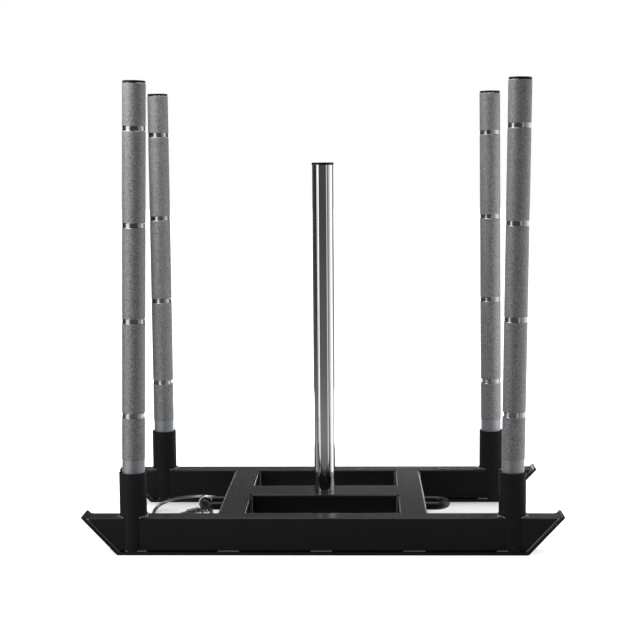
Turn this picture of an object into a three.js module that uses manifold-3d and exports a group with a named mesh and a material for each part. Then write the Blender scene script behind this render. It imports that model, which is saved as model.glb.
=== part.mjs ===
import * as THREE from 'three';
import { mergeVertices } from 'three/addons/utils/BufferGeometryUtils.js';
import Module from 'manifold-3d';

const wasm = await Module();
wasm.setup();

// Push sled: two ski runners, a welded deck with a plate post, four lift-out push poles,
// a tow eye at each end, and a shackle with a wire sling on the front one.
// Millimetres, +Z up. X runs along the runners and the towed front is at -X.
// The origin is on the floor under the middle of the sled.

// Clearances
const weldGap = 0.3;
const fitGap = 0.3;
const cutOverrun = 5;

// Whole sled
const sledLength = 1072;
const runnerSpacing = 492;

// Runner tubes
const runnerWidth = 50.8;
const runnerHeight = 76.2;
const runnerWall = 3.2;
const runnerCorner = 5;

// Sole plates, bent up at both ends
const soleWidth = 63.5;
const soleThickness = 6.35;
const tipRun = 80;
const tipRise = 85;

// Pole sockets, which pass through the runners; the inset is from a tip to a socket's middle
const socketInset = 114;
const socketOuter = 60.3;
const socketWall = 2.6;
const socketHeight = 176;
const socketChamfer = 1;

// Deck bars
const crossBarSpacing = 410;
const crossBarSize = 63.5;
const centreBarWidth = 101.6;
const centreBarHeight = 50.8;
const deckWall = 3.2;
const deckCorner = 6;

// Tow eyes, bent from round bar
const towRod = 19.05;
const towEyeWidth = 76.2;
const towEyeReach = 63.5;

// Plate post and what bolts it down
const postOuter = 50;
const postWall = 3;
const postLength = 778;
const postPlugHeight = 20;
const postPlugChamfer = 1;
const postCapWidth = 52;
const postCapHeight = 5;
const boltDiameter = 16;
const boltHole = 17;
const boltHeadFlats = 24;
const boltHeadHeight = 10;
const boltEngagement = 17;
const washerOuter = 30;
const washerThickness = 3;
const lockWasherOuter = 27.4;
const lockWasherThickness = 4;
const lockWasherSplit = 2.5;
const spacerOuter = 25.4;

// Push poles
const poleOuter = 50;
const poleWall = 3;
const poleLength = 1032;
const poleChamfer = 1.8;
const gripOuter = 51.4;
const gripStart = 205;
const gripEdge = 1;
const firstBand = 304.5;
const bandPitch = 209.5;
const bandCount = 4;
const bandHeight = 11.5;
const bandDepth = 1.6;
const bandEdge = 1;
const poleCapWidth = 49;
const poleCapHeight = 4;

// Plastic caps of the post and the poles
const capEdge = 1.2;
const capSkirtDepth = 18;
const capSkirtWall = 2.5;

// Shackle
const shackleRod = 7.94;
const shackleInside = 24;
const shackleMouth = 13.5;
const shackleDepth = 31;
const shackleEar = 19;
const shackleKnee = 8;
const pinDiameter = 9.5;
const pinEndOut = 1.5;
const pinCollar = 14;
const pinCollarThickness = 2;
const pinHeadWidth = 16;
const pinHeadThickness = 5;
const pinHeadHole = 5;

// Wire sling and the ferrule that joins its ends
const cableDiameter = 8;
const ferruleDiameter = 14;
const ferruleEdge = 1.5;
const ferruleGroove = 1.2;
const crimpCount = 3;
const crimpLandShare = 0.45;

// Centre line of the sling, chosen by hand: from the ferrule over the shackle's pin, round
// behind the tow eye, down to the floor and back up to the ferrule.
const slingRoute = [
  [-304, -1.4, 35.4],
  [-300, -0.2, 36],
  [-295, 3.2, 35.4],
  [-289.5, 9.7, 34.5],
  [-283.9, 16.2, 35],
  [-276.3, 23.1, 35.3],
  [-266.5, 31.5, 35.6],
  [-258.5, 43, 36.7],
  [-254.5, 57, 38.4],
  [-256.5, 71, 40.2],
  [-265.5, 84, 41.7],
  [-280, 92, 43.1],
  [-297, 95.5, 44],
  [-314, 98, 43.8],
  [-336, 106, 41.2],
  [-356, 115, 37.4],
  [-374, 123.5, 32.6],
  [-390, 130.5, 27],
  [-404, 135, 21.5],
  [-416, 134.5, 15.8],
  [-425, 126.5, 10.2],
  [-429.5, 112, 6],
  [-430.5, 94, 4.3],
  [-429.5, 74, 4.3],
  [-427, 54, 4.3],
  [-422.5, 35, 4.3],
  [-415, 17, 4.6],
  [-404, 1, 6.3],
  [-390, -11, 10.3],
  [-375, -16.6, 16.2],
  [-360, -16.8, 22.2],
  [-347, -14, 26.9],
  [-338, -11.6, 29.4],
  [-334, -10.4, 30.3],
];
const cableSteps = 56;

// How far each pole leans along X in its loose socket, in radians, and where it stands
const poles = [
  { name: 'front_left_pole', end: -1, side: -1, lean: 0.023 },
  { name: 'rear_left_pole', end: 1, side: -1, lean: 0.011 },
  { name: 'front_right_pole', end: -1, side: 1, lean: 0 },
  { name: 'rear_right_pole', end: 1, side: 1, lean: -0.009 },
];

// The tow eye's bend, in radians from the sled's centre line, where the shackle hangs
const shackleAngle = 0.38;

// Facets
const roundSides = 32;
const poleSides = 24;
const fastenerSides = 20;
const hexSides = 6;
const rodSides = 14;
const rodSteps = 20;
const cableSides = 10;
const cornerSteps = 3;

// Places that follow from the sizes
const runnerBottom = soleThickness + weldGap;
const socketX = sledLength / 2 - socketInset;
const deckTop = runnerBottom + runnerHeight;
const towEyeZ = deckTop - crossBarSize / 2;
const towFace = crossBarSpacing / 2 + crossBarSize / 2;
const towBendRadius = (towEyeWidth - towRod) / 2;
const towLeg = towEyeReach - towEyeWidth / 2;
const postBottom = deckTop + weldGap;
const centreBarBottom = deckTop - centreBarHeight;

// Materials
function paint(color, roughness) {
  return new THREE.MeshStandardMaterial({ color, roughness, metalness: 0.1 });
}

function metal(color, roughness) {
  return new THREE.MeshStandardMaterial({ color, roughness, metalness: 1 });
}

function plastic(color, roughness) {
  return new THREE.MeshStandardMaterial({ color, roughness, metalness: 0 });
}

function blackPowderCoat() {
  return paint('#1d1d1f', 0.55);
}

function deckPowderCoat() {
  return paint('#262628', 0.6);
}

function knurledSteel() {
  return metal('#8d8d8f', 0.42);
}

function postChrome() {
  return metal('#d9dadc', 0.08);
}

function zincPlate() {
  return metal('#b9bcbf', 0.32);
}

function bareSteel() {
  return metal('#77797c', 0.45);
}

function blackPlastic() {
  return plastic('#141415', 0.6);
}

function clearJacket() {
  return plastic('#c9cac6', 0.25);
}

function crimpedAluminium() {
  return metal('#a9abae', 0.4);
}

// Solids: a closed geometry becomes a manifold to be cut or joined, and comes back as a geometry
function toManifold(geometry) {
  const bare = geometry.clone();
  bare.deleteAttribute('normal');
  bare.deleteAttribute('uv');
  const merged = mergeVertices(bare);
  return new wasm.Manifold(
    new wasm.Mesh({
      numProp: 3,
      vertProperties: new Float32Array(merged.attributes.position.array),
      triVerts: new Uint32Array(merged.index.array),
    })
  );
}

function toGeometry(manifold) {
  const mesh = manifold.getMesh();
  const geometry = new THREE.BufferGeometry();
  geometry.setAttribute('position', new THREE.BufferAttribute(new Float32Array(mesh.vertProperties), 3));
  geometry.setIndex(new THREE.BufferAttribute(new Uint32Array(mesh.triVerts), 1));
  const faceted = geometry.toNonIndexed();
  faceted.computeVertexNormals();
  return faceted;
}

function cut(geometry, ...tools) {
  const solid = tools.reduce((left, tool) => left.subtract(toManifold(tool)), toManifold(geometry));
  return toGeometry(solid);
}

function join(...geometries) {
  const solid = geometries.map(toManifold).reduce((sum, next) => sum.add(next));
  return toGeometry(solid);
}

// Geometry turned so that what was drawn up +Z runs along the named axis
function alongX(geometry) {
  const axes = new THREE.Matrix4().makeBasis(
    new THREE.Vector3(0, 1, 0),
    new THREE.Vector3(0, 0, 1),
    new THREE.Vector3(1, 0, 0)
  );
  return geometry.applyMatrix4(axes);
}

function alongY(geometry) {
  const axes = new THREE.Matrix4().makeBasis(
    new THREE.Vector3(0, 0, 1),
    new THREE.Vector3(1, 0, 0),
    new THREE.Vector3(0, 1, 0)
  );
  return geometry.applyMatrix4(axes);
}

function roundedOutline(outline, width, height, radius) {
  const x = width / 2;
  const y = height / 2;
  outline.moveTo(radius - x, -y);
  outline.lineTo(x - radius, -y);
  outline.absarc(x - radius, radius - y, radius, -Math.PI / 2, 0);
  outline.lineTo(x, y - radius);
  outline.absarc(x - radius, y - radius, radius, 0, Math.PI / 2);
  outline.lineTo(radius - x, y);
  outline.absarc(radius - x, y - radius, radius, Math.PI / 2, Math.PI);
  outline.lineTo(-x, radius - y);
  outline.absarc(radius - x, radius - y, radius, Math.PI, (Math.PI * 3) / 2);
  return outline;
}

// Rectangular tube drawn up Z and centred on the origin
function rectangularTube(width, height, length, wall, corner) {
  const section = roundedOutline(new THREE.Shape(), width, height, corner);
  const bore = roundedOutline(new THREE.Path(), width - 2 * wall, height - 2 * wall, corner - wall);
  section.holes.push(bore);
  const tube = new THREE.ExtrudeGeometry(section, {
    depth: length,
    bevelEnabled: false,
    curveSegments: cornerSteps,
  });
  return tube.translate(0, 0, -length / 2);
}

// Turned solid: the profile is a list of [radius, height] pairs, run up the outside
function turned(profile, sides) {
  const points = profile.map(([radius, height]) => new THREE.Vector2(radius, height));
  return new THREE.LatheGeometry(points, sides).rotateX(Math.PI / 2);
}

function turnedRing(profile, sides) {
  return turned([...profile, profile[0]], sides);
}

function roundBar(diameter, length, sides) {
  const bar = new THREE.CylinderGeometry(diameter / 2, diameter / 2, length, sides);
  return bar.rotateX(Math.PI / 2);
}

// Round bar swept along a curve
function sweptRod(path, diameter, sides, steps) {
  const section = new THREE.Shape().absarc(0, 0, diameter / 2, 0, 2 * Math.PI);
  return new THREE.ExtrudeGeometry(section, {
    steps,
    bevelEnabled: false,
    curveSegments: sides / 2,
    extrudePath: path,
  });
}

function place(group, name, geometry, material, x, y, z) {
  const mesh = new THREE.Mesh(geometry, material);
  mesh.name = name;
  mesh.position.set(x, y, z);
  group.add(mesh);
  return mesh;
}

// Runners

// The sole's side view: a flat strip whose ends bend up, with mitred corners
function soleSlope() {
  const length = Math.hypot(tipRun, tipRise);
  const outerBend = sledLength / 2 - tipRun;
  const mitre = soleThickness * Math.tan(Math.atan2(tipRise, tipRun) / 2);
  return {
    outerBend,
    innerBend: outerBend - mitre,
    outerTip: [sledLength / 2, tipRise],
    innerTip: [
      sledLength / 2 - (soleThickness * tipRise) / length,
      tipRise + (soleThickness * tipRun) / length,
    ],
  };
}

function solePlate() {
  const slope = soleSlope();
  const halfView = [
    [slope.outerBend, 0],
    slope.outerTip,
    slope.innerTip,
    [slope.innerBend, soleThickness],
  ];
  const otherHalf = halfView.map(([x, z]) => [-x, z]).reverse();
  const outline = [...halfView, ...otherHalf].map(([x, z]) => new THREE.Vector2(x, z));
  const plate = new THREE.ExtrudeGeometry(new THREE.Shape(outline), {
    depth: soleWidth,
    bevelEnabled: false,
  });
  return plate.rotateX(Math.PI / 2).translate(0, soleWidth / 2, 0);
}

function socketCutter(x) {
  const diameter = socketOuter + 2 * weldGap;
  const length = runnerHeight + 2 * cutOverrun;
  const cutter = roundBar(diameter, length, roundSides);
  return cutter.translate(x, 0, runnerBottom + runnerHeight / 2);
}

function runnerTube(length) {
  const tube = rectangularTube(runnerWidth, runnerHeight, length, runnerWall, runnerCorner);
  return alongX(tube).translate(0, 0, runnerBottom + runnerHeight / 2);
}

// Middle length of runner tube, coped to a socket at each end
function runnerRail() {
  return cut(runnerTube(2 * socketX), socketCutter(-socketX), socketCutter(socketX));
}

// Rear nose: a short length coped to its socket and cut to the slope of the sole
function runnerNose() {
  const slope = soleSlope();
  const tube = runnerTube(sledLength / 2 - socketX);
  tube.translate((sledLength / 2 + socketX) / 2, 0, 0);
  const angle = Math.atan2(tipRise, tipRun);
  const wedgeSize = sledLength / 2 - socketX + cutOverrun;
  const wedge = new THREE.BoxGeometry(2 * wedgeSize, runnerWidth + cutOverrun, wedgeSize);
  wedge.translate(0, 0, -wedgeSize / 2 + weldGap);
  wedge.rotateY(-angle).translate(slope.innerBend, 0, soleThickness);
  return cut(tube, socketCutter(socketX), wedge);
}

function socketTube() {
  const outer = socketOuter / 2;
  const inner = outer - socketWall;
  return turnedRing(
    [
      [inner, 0],
      [outer, 0],
      [outer, socketHeight - socketChamfer],
      [outer - socketChamfer, socketHeight],
      [inner, socketHeight],
    ],
    roundSides
  );
}

function buildRunner(side) {
  const runner = new THREE.Group();
  const word = side < 0 ? 'left' : 'right';
  runner.position.set(0, (side * runnerSpacing) / 2, 0);
  place(runner, `${word}_sole_plate`, solePlate(), blackPowderCoat(), 0, 0, 0);
  place(runner, `${word}_runner_rail`, runnerRail(), blackPowderCoat(), 0, 0, 0);
  place(runner, `${word}_rear_nose`, runnerNose(), blackPowderCoat(), 0, 0, 0);
  const frontNose = place(runner, `${word}_front_nose`, runnerNose(), blackPowderCoat(), 0, 0, 0);
  frontNose.rotation.z = Math.PI;
  for (const end of [-1, 1]) {
    const name = `${end < 0 ? 'front' : 'rear'}_${word}_socket`;
    place(runner, name, socketTube(), blackPowderCoat(), end * socketX, 0, runnerBottom);
  }
  return runner;
}

// Deck

function crossBar() {
  const length = runnerSpacing - runnerWidth - 2 * weldGap;
  return alongY(rectangularTube(crossBarSize, crossBarSize, length, deckWall, deckCorner));
}

function centreBar() {
  const length = crossBarSpacing - crossBarSize - 2 * weldGap;
  const bar = alongX(rectangularTube(centreBarWidth, centreBarHeight, length, deckWall, deckCorner));
  return cut(bar, roundBar(boltHole, centreBarHeight + 2 * cutOverrun, fastenerSides));
}

// Centre line of a tow eye: a leg, a half circle and a leg, opening towards -X
class TowEyeLine extends THREE.Curve {
  getPoint(t) {
    const arc = Math.PI * towBendRadius;
    const run = t * (2 * towLeg + arc);
    if (run < towLeg) {
      return new THREE.Vector3(run, -towBendRadius, 0);
    }
    if (run > towLeg + arc) {
      return new THREE.Vector3(2 * towLeg + arc - run, towBendRadius, 0);
    }
    const angle = (run - towLeg) / towBendRadius - Math.PI / 2;
    return new THREE.Vector3(
      towLeg + towBendRadius * Math.cos(angle),
      towBendRadius * Math.sin(angle),
      0
    );
  }
}

function towEye() {
  return sweptRod(new TowEyeLine(), towRod, rodSides, rodSteps);
}

function buildDeck() {
  const deck = new THREE.Group();
  for (const end of [-1, 1]) {
    const word = end < 0 ? 'front' : 'rear';
    const barX = (end * crossBarSpacing) / 2;
    place(deck, `${word}_cross_bar`, crossBar(), deckPowderCoat(), barX, 0, deckTop - crossBarSize / 2);
    const eyeX = end * (towFace + weldGap);
    const eye = place(deck, `${word}_tow_eye`, towEye(), blackPowderCoat(), eyeX, 0, towEyeZ);
    eye.rotation.z = end < 0 ? Math.PI : 0;
  }
  place(deck, 'centre_bar', centreBar(), deckPowderCoat(), 0, 0, deckTop - centreBarHeight / 2);
  return deck;
}

// Plate post

function plainTube(outer, wall, length, sides) {
  return turnedRing(
    [
      [outer - wall, 0],
      [outer, 0],
      [outer, length],
      [outer - wall, length],
    ],
    sides
  );
}

// Flanged cap with a hollow skirt that goes down inside the tube
function tubeCap(width, height, bore, sides) {
  const radius = width / 2;
  const skirt = bore / 2 - fitGap;
  const inside = skirt - capSkirtWall;
  return turned(
    [
      [0, -capSkirtWall],
      [inside, -capSkirtWall],
      [inside, -capSkirtDepth],
      [skirt, -capSkirtDepth],
      [skirt, 0],
      [radius, 0],
      [radius, height - capEdge],
      [radius - capEdge, height],
      [0, height],
    ],
    sides
  );
}

function postPlug() {
  const radius = postOuter / 2 - postWall - fitGap;
  const hole = boltDiameter / 2 + fitGap;
  return turnedRing(
    [
      [hole, 0],
      [radius, 0],
      [radius, postPlugHeight - postPlugChamfer],
      [radius - postPlugChamfer, postPlugHeight],
      [hole, postPlugHeight],
    ],
    fastenerSides
  );
}

function hexBolt() {
  const shankLength =
    lockWasherThickness + washerThickness + centreBarHeight + 3 * fitGap + weldGap + boltEngagement;
  const headRadius = boltHeadFlats / Math.sqrt(3);
  const head = new THREE.CylinderGeometry(headRadius, headRadius, boltHeadHeight, hexSides);
  head.rotateX(Math.PI / 2).translate(0, 0, boltHeadHeight / 2);
  const joined = boltHeadHeight / 2;
  const shank = roundBar(boltDiameter, shankLength + joined, fastenerSides);
  shank.translate(0, 0, joined + (shankLength + joined) / 2);
  return join(head, shank);
}

function lockWasher() {
  const ring = turnedRing(
    [
      [boltHole / 2, 0],
      [lockWasherOuter / 2, 0],
      [lockWasherOuter / 2, lockWasherThickness],
      [boltHole / 2, lockWasherThickness],
    ],
    fastenerSides
  );
  const split = new THREE.BoxGeometry(lockWasherOuter, lockWasherSplit, lockWasherThickness + cutOverrun);
  return cut(ring, split.translate(lockWasherOuter / 2, 0, lockWasherThickness / 2));
}

function buildPost() {
  const post = new THREE.Group();
  const bore = postOuter - 2 * postWall;
  const washerZ = centreBarBottom - fitGap - washerThickness;
  const lockWasherZ = washerZ - fitGap - lockWasherThickness;
  const boltZ = lockWasherZ - fitGap - boltHeadHeight;
  const spacerLength = centreBarHeight - 2 * deckWall - 2 * fitGap;
  const spacerZ = centreBarBottom + deckWall + fitGap;
  const spacerWall = (spacerOuter - boltHole) / 2;
  const washerWall = (washerOuter - boltHole) / 2;
  const postTube = plainTube(postOuter / 2, postWall, postLength, roundSides);
  place(post, 'post_tube', postTube, postChrome(), 0, 0, postBottom);
  const cap = tubeCap(postCapWidth, postCapHeight, bore, roundSides);
  place(post, 'post_cap', cap, blackPlastic(), 0, 0, postBottom + postLength + fitGap);
  place(post, 'post_base_plug', postPlug(), bareSteel(), 0, 0, postBottom);
  const washer = plainTube(washerOuter / 2, washerWall, washerThickness, fastenerSides);
  place(post, 'post_washer', washer, zincPlate(), 0, 0, washerZ);
  place(post, 'post_lock_washer', lockWasher(), zincPlate(), 0, 0, lockWasherZ);
  place(post, 'post_bolt', hexBolt(), zincPlate(), 0, 0, boltZ);
  const spacer = plainTube(spacerOuter / 2, spacerWall, spacerLength, fastenerSides);
  place(post, 'post_spacer', spacer, bareSteel(), 0, 0, spacerZ);
  return post;
}

// Push poles

// Turned tube: plain below, knurled above, with four smooth bands turned into the grip
function poleTube() {
  const plain = poleOuter / 2;
  const grip = gripOuter / 2;
  const band = grip - bandDepth;
  const inner = plain - poleWall;
  const profile = [
    [inner, 0],
    [plain, 0],
    [plain, gripStart],
    [grip, gripStart + gripEdge],
  ];
  for (let i = 0; i < bandCount; i += 1) {
    const low = firstBand + i * bandPitch - bandHeight / 2;
    const high = low + bandHeight;
    profile.push([grip, low], [band, low + bandEdge], [band, high - bandEdge], [grip, high]);
  }
  profile.push([grip, poleLength - poleChamfer], [grip - poleChamfer, poleLength], [inner, poleLength]);
  return turnedRing(profile, poleSides);
}

// A pole leans within its socket about the middle of the length that the socket holds
function buildPole({ name, end, side, lean }) {
  const pole = new THREE.Group();
  const halfDepth = socketHeight / 2;
  const lift = (poleOuter / 2) * Math.sin(Math.abs(lean)) + halfDepth * Math.cos(lean);
  const x = end * socketX;
  const y = (side * runnerSpacing) / 2;
  pole.position.set(x, y, soleThickness + fitGap + lift);
  pole.rotation.y = lean;
  place(pole, name, poleTube(), knurledSteel(), 0, 0, -halfDepth);
  const cap = tubeCap(poleCapWidth, poleCapHeight, poleOuter - 2 * poleWall, poleSides);
  place(pole, `${name}_cap`, cap, blackPlastic(), 0, 0, poleLength + fitGap - halfDepth);
  return pole;
}

// Shackle, drawn with its pin along X and its bow upwards, about the centre of the bow

const bowRadius = (shackleInside + shackleRod) / 2;
const earX = (shackleMouth + shackleRod) / 2;
const pinZ = shackleInside / 2 - shackleDepth - pinDiameter / 2;

// Centre line of the bow: up from one ear, in a slant to the arc that it touches, and back down
class BowLine extends THREE.Curve {
  getPoint(t) {
    const kneeZ = pinZ + shackleKnee;
    const reach = Math.hypot(earX, kneeZ);
    const touch = Math.atan2(kneeZ, earX) + Math.acos(bowRadius / reach);
    const slant = Math.sqrt(reach * reach - bowRadius * bowRadius);
    const arc = bowRadius * (Math.PI - 2 * touch);
    const total = 2 * (shackleKnee + slant) + arc;
    const run = t * total;
    const side = run < total / 2 ? 1 : -1;
    const fromEar = Math.min(run, total - run);
    if (fromEar < shackleKnee) {
      return new THREE.Vector3(side * earX, 0, pinZ + fromEar);
    }
    if (fromEar < shackleKnee + slant) {
      const slantShare = (fromEar - shackleKnee) / slant;
      const x = earX + (bowRadius * Math.cos(touch) - earX) * slantShare;
      const z = kneeZ + (bowRadius * Math.sin(touch) - kneeZ) * slantShare;
      return new THREE.Vector3(side * x, 0, z);
    }
    const angle = touch + (run - shackleKnee - slant) / bowRadius;
    return new THREE.Vector3(bowRadius * Math.cos(angle), 0, bowRadius * Math.sin(angle));
  }
}

function shackleBow() {
  const bow = sweptRod(new BowLine(), shackleRod, rodSides, rodSteps);
  const ears = [-1, 1].map((side) => {
    const ear = alongX(roundBar(shackleEar, shackleRod, roundSides / 2));
    return ear.translate(side * earX, 0, pinZ);
  });
  const holeLength = 2 * (earX + shackleRod + cutOverrun);
  const hole = alongX(roundBar(pinDiameter + 2 * fitGap, holeLength, roundSides / 2));
  return cut(join(bow, ...ears), hole.translate(0, 0, pinZ));
}

// Screw pin with a collar and a flat eye for a bar to turn it by
function shacklePin() {
  const earOutside = earX + shackleRod / 2;
  const collarX = earOutside + fitGap;
  const shankLength = collarX + earOutside + pinEndOut + pinCollarThickness / 2;
  const shank = alongX(roundBar(pinDiameter, shankLength, roundSides / 2));
  shank.translate(pinCollarThickness / 2 + collarX - shankLength / 2, 0, 0);
  const collar = alongX(roundBar(pinCollar, pinCollarThickness, roundSides / 2));
  collar.translate(collarX + pinCollarThickness / 2, 0, 0);
  const headX = collarX + pinCollarThickness / 2 + pinHeadWidth / 2;
  const head = alongY(roundBar(pinHeadWidth, pinHeadThickness, roundSides / 2)).translate(headX, 0, 0);
  const hole = alongY(roundBar(pinHeadHole, pinHeadThickness + cutOverrun, roundSides / 2));
  return cut(join(shank, collar, head), hole.translate(headX, 0, 0));
}

// The shackle hangs on the front tow eye's bend, square to the bar at that point
function buildShackle() {
  const shackle = new THREE.Group();
  const bendX = -(towFace + weldGap + towLeg);
  const x = bendX - towBendRadius * Math.cos(shackleAngle);
  const y = towBendRadius * Math.sin(shackleAngle);
  const z = towEyeZ + towRod / 2 + fitGap - shackleInside / 2;
  shackle.position.set(x, y, z);
  shackle.rotation.z = Math.PI - shackleAngle;
  place(shackle, 'tow_shackle_bow', shackleBow(), zincPlate(), 0, 0, 0);
  place(shackle, 'tow_shackle_pin', shacklePin(), zincPlate(), 0, 0, pinZ);
  return shackle;
}

// Wire sling

function slingCable() {
  const points = slingRoute.map(([x, y, z]) => new THREE.Vector3(x, y, z));
  const line = new THREE.CatmullRomCurve3(points, false, 'centripetal');
  return sweptRod(line, cableDiameter, cableSides, cableSteps);
}

// Sleeve crimped at several places, which closes the sling between its two ends
function ferruleSleeve(length) {
  const radius = ferruleDiameter / 2;
  const pitch = length / crimpCount;
  const land = (pitch * crimpLandShare) / 2;
  const profile = [[0, 0], [radius - ferruleEdge, 0]];
  for (let i = 0; i < crimpCount; i += 1) {
    const middle = (i + 1 / 2) * pitch;
    const edge = i === 0 ? ferruleEdge : middle - land;
    const high = i === crimpCount - 1 ? length - ferruleEdge : middle + land;
    profile.push([radius, edge], [radius, high]);
    if (i < crimpCount - 1) {
      profile.push([radius - ferruleGroove, (i + 1) * pitch]);
    }
  }
  profile.push([radius - ferruleEdge, length], [0, length]);
  return turned(profile, roundSides / 2);
}

function buildSling() {
  const sling = new THREE.Group();
  place(sling, 'tow_cable', slingCable(), clearJacket(), 0, 0, 0);
  const start = new THREE.Vector3(...slingRoute[slingRoute.length - 1]);
  const stop = new THREE.Vector3(...slingRoute[0]);
  const axis = stop.clone().sub(start).normalize();
  const length = start.distanceTo(stop) - 2 * fitGap;
  const sleeve = place(sling, 'tow_cable_ferrule', ferruleSleeve(length), crimpedAluminium(), 0, 0, 0);
  sleeve.position.copy(start).addScaledVector(axis, fitGap);
  sleeve.quaternion.setFromUnitVectors(new THREE.Vector3(0, 0, 1), axis);
  return sling;
}

const pushSled = new THREE.Group();
pushSled.add(buildRunner(-1));
pushSled.add(buildRunner(1));
pushSled.add(buildDeck());
pushSled.add(buildPost());
for (const pole of poles) {
  pushSled.add(buildPole(pole));
}
pushSled.add(buildShackle());
pushSled.add(buildSling());

export default pushSled;
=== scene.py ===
"""Push sled: the finished pieces, materials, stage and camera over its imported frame."""

import math

import bmesh
import bpy
from mathutils import Matrix, Vector


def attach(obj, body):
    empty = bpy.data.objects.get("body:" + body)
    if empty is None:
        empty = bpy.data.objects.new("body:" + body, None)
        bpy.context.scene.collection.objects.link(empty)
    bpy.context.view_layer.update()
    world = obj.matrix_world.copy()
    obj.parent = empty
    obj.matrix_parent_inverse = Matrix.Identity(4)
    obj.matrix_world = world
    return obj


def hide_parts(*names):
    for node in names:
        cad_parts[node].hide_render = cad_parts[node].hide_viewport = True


bl_info = {
    "name": "Push Sled",
    "version": (1, 0, 0),
    "blender": (4, 5, 0),
    "location": "View3D > Sidebar > Push Sled",
    "description": "Models the push sled's finished pieces over its packed frame",
    "category": "Object",
}

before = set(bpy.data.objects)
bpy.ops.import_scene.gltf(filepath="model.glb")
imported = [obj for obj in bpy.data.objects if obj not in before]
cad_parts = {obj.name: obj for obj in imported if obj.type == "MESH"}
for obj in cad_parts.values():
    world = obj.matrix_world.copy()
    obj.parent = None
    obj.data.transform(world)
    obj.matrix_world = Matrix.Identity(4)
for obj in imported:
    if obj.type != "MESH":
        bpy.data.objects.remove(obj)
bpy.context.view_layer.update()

TAU = 2 * math.pi
TOLERANCE = 1e-5


def linear(hex_colour):
    """An sRGB hex colour as the linear colour that shaders take."""
    channels = [int(hex_colour[i : i + 2], 16) / 255 for i in (1, 3, 5)]
    return tuple(c / 12.92 if c <= 0.04045 else ((c + 0.055) / 1.055) ** 2.4 for c in channels)


def colour_property(name, hex_colour, description):
    """A colour that a user can change, given as sRGB hex."""
    return bpy.props.FloatVectorProperty(
        name=name,
        description=description,
        subtype="COLOR",
        size=3,
        min=0,
        max=1,
        default=linear(hex_colour),
    )


def length_property(name, default, description):
    """A length in metres that a user can change."""
    return bpy.props.FloatProperty(
        name=name,
        description=description,
        default=default,
        min=0,
        unit="LENGTH",
        subtype="DISTANCE",
        precision=5,
    )


class StageSettings(bpy.types.PropertyGroup):
    camera_place: bpy.props.FloatVectorProperty(
        name="Camera place",
        description="Where the camera stands",
        subtype="TRANSLATION",
        unit="LENGTH",
        size=3,
        default=(0.0876, -3.2138, 0.8396),
    )
    camera_yaw: bpy.props.FloatProperty(
        name="Yaw",
        description="Turn to the right, from looking along +Y",
        subtype="ANGLE",
        default=-0.03,
    )
    camera_pitch: bpy.props.FloatProperty(
        name="Pitch", description="Tilt down from level", subtype="ANGLE", default=0.1069
    )
    camera_roll: bpy.props.FloatProperty(
        name="Roll", description="Roll about the line of sight", subtype="ANGLE", default=-0.0076
    )
    focal_length: bpy.props.FloatProperty(
        name="Focal length", description="On a 36 mm sensor", unit="CAMERA", default=76.54, min=10
    )
    floor_colour: colour_property("Floor", "#C9C9C9", "Colour of the studio floor")
    tent_radius: length_property("Tent radius", 1.15, "Round screen that only reflections show")
    tent_height: length_property("Tent height", 6.0, "Of the screen, half of it below the floor")


class SlingSettings(bpy.types.PropertyGroup):
    diameter: length_property("Diameter", 0.008, "Across the jacket of the wire sling")
    ferrule: length_property("Ferrule", 0.014, "Across the crimped ferrule")
    strand_lay: length_property("Lay", 0.03, "Length in which a strand goes once round")
    jacket_colour: colour_property("Jacket", "#8F908E", "Wire rope seen through its clear jacket")


class ShackleSettings(bpy.types.PropertyGroup):
    rod: length_property("Rod", 0.00794, "Bow's bar")
    inside: length_property("Inside", 0.024, "Width inside the bow")
    mouth: length_property("Mouth", 0.0135, "Gap between the ears")
    depth: length_property("Depth", 0.031, "From the top of the bow's inside to the pin")
    ear: length_property("Ear", 0.019, "Across an ear")
    knee: length_property("Knee", 0.008, "Straight rise above each ear")
    pin: length_property("Pin", 0.0095, "Pin's shank")
    collar: length_property("Collar", 0.014, "Across the pin's collar")
    pin_eye: length_property("Pin eye", 0.016, "Across the flat eye of the pin")
    angle: bpy.props.FloatProperty(
        name="Angle",
        description="Where it hangs on the tow eye's bend",
        subtype="ANGLE",
        default=0.38,
    )


class RunnerSettings(bpy.types.PropertyGroup):
    length: length_property("Length", 1.072, "From tip to tip of the soles")
    spacing: length_property("Spacing", 0.492, "Between the middles of the runners")
    width: length_property("Width", 0.0508, "Runner tube across")
    height: length_property("Height", 0.0762, "Runner tube upright")
    wall: length_property("Wall", 0.0032, "Wall of the runner tube")
    corner: length_property("Corner", 0.005, "Outer corner of the runner tube")
    sole_width: length_property("Sole width", 0.0635, "Sole plate across")
    sole_thickness: length_property("Sole thickness", 0.00635, "Sole plate")
    sole_corner: length_property("Sole corner", 0.005, "Rounded corners of the soles' ends")
    sole_edge: length_property("Sole edge", 0.0017, "Rolled edges of the flat bar")
    tip_run: length_property("Tip run", 0.08, "Length over which an end bends up")
    tip_rise: length_property("Tip rise", 0.085, "Height to which an end bends up")
    gap: length_property("Joint", 0.0003, "Gap at a welded joint")


class SocketSettings(bpy.types.PropertyGroup):
    spacing: length_property("Spacing", 0.844, "Between the front and rear sockets")
    outer: length_property("Outside", 0.0603, "Socket pipe across")
    wall: length_property("Wall", 0.0026, "Wall of the socket pipe")
    height: length_property("Height", 0.176, "Height of a socket")


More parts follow.
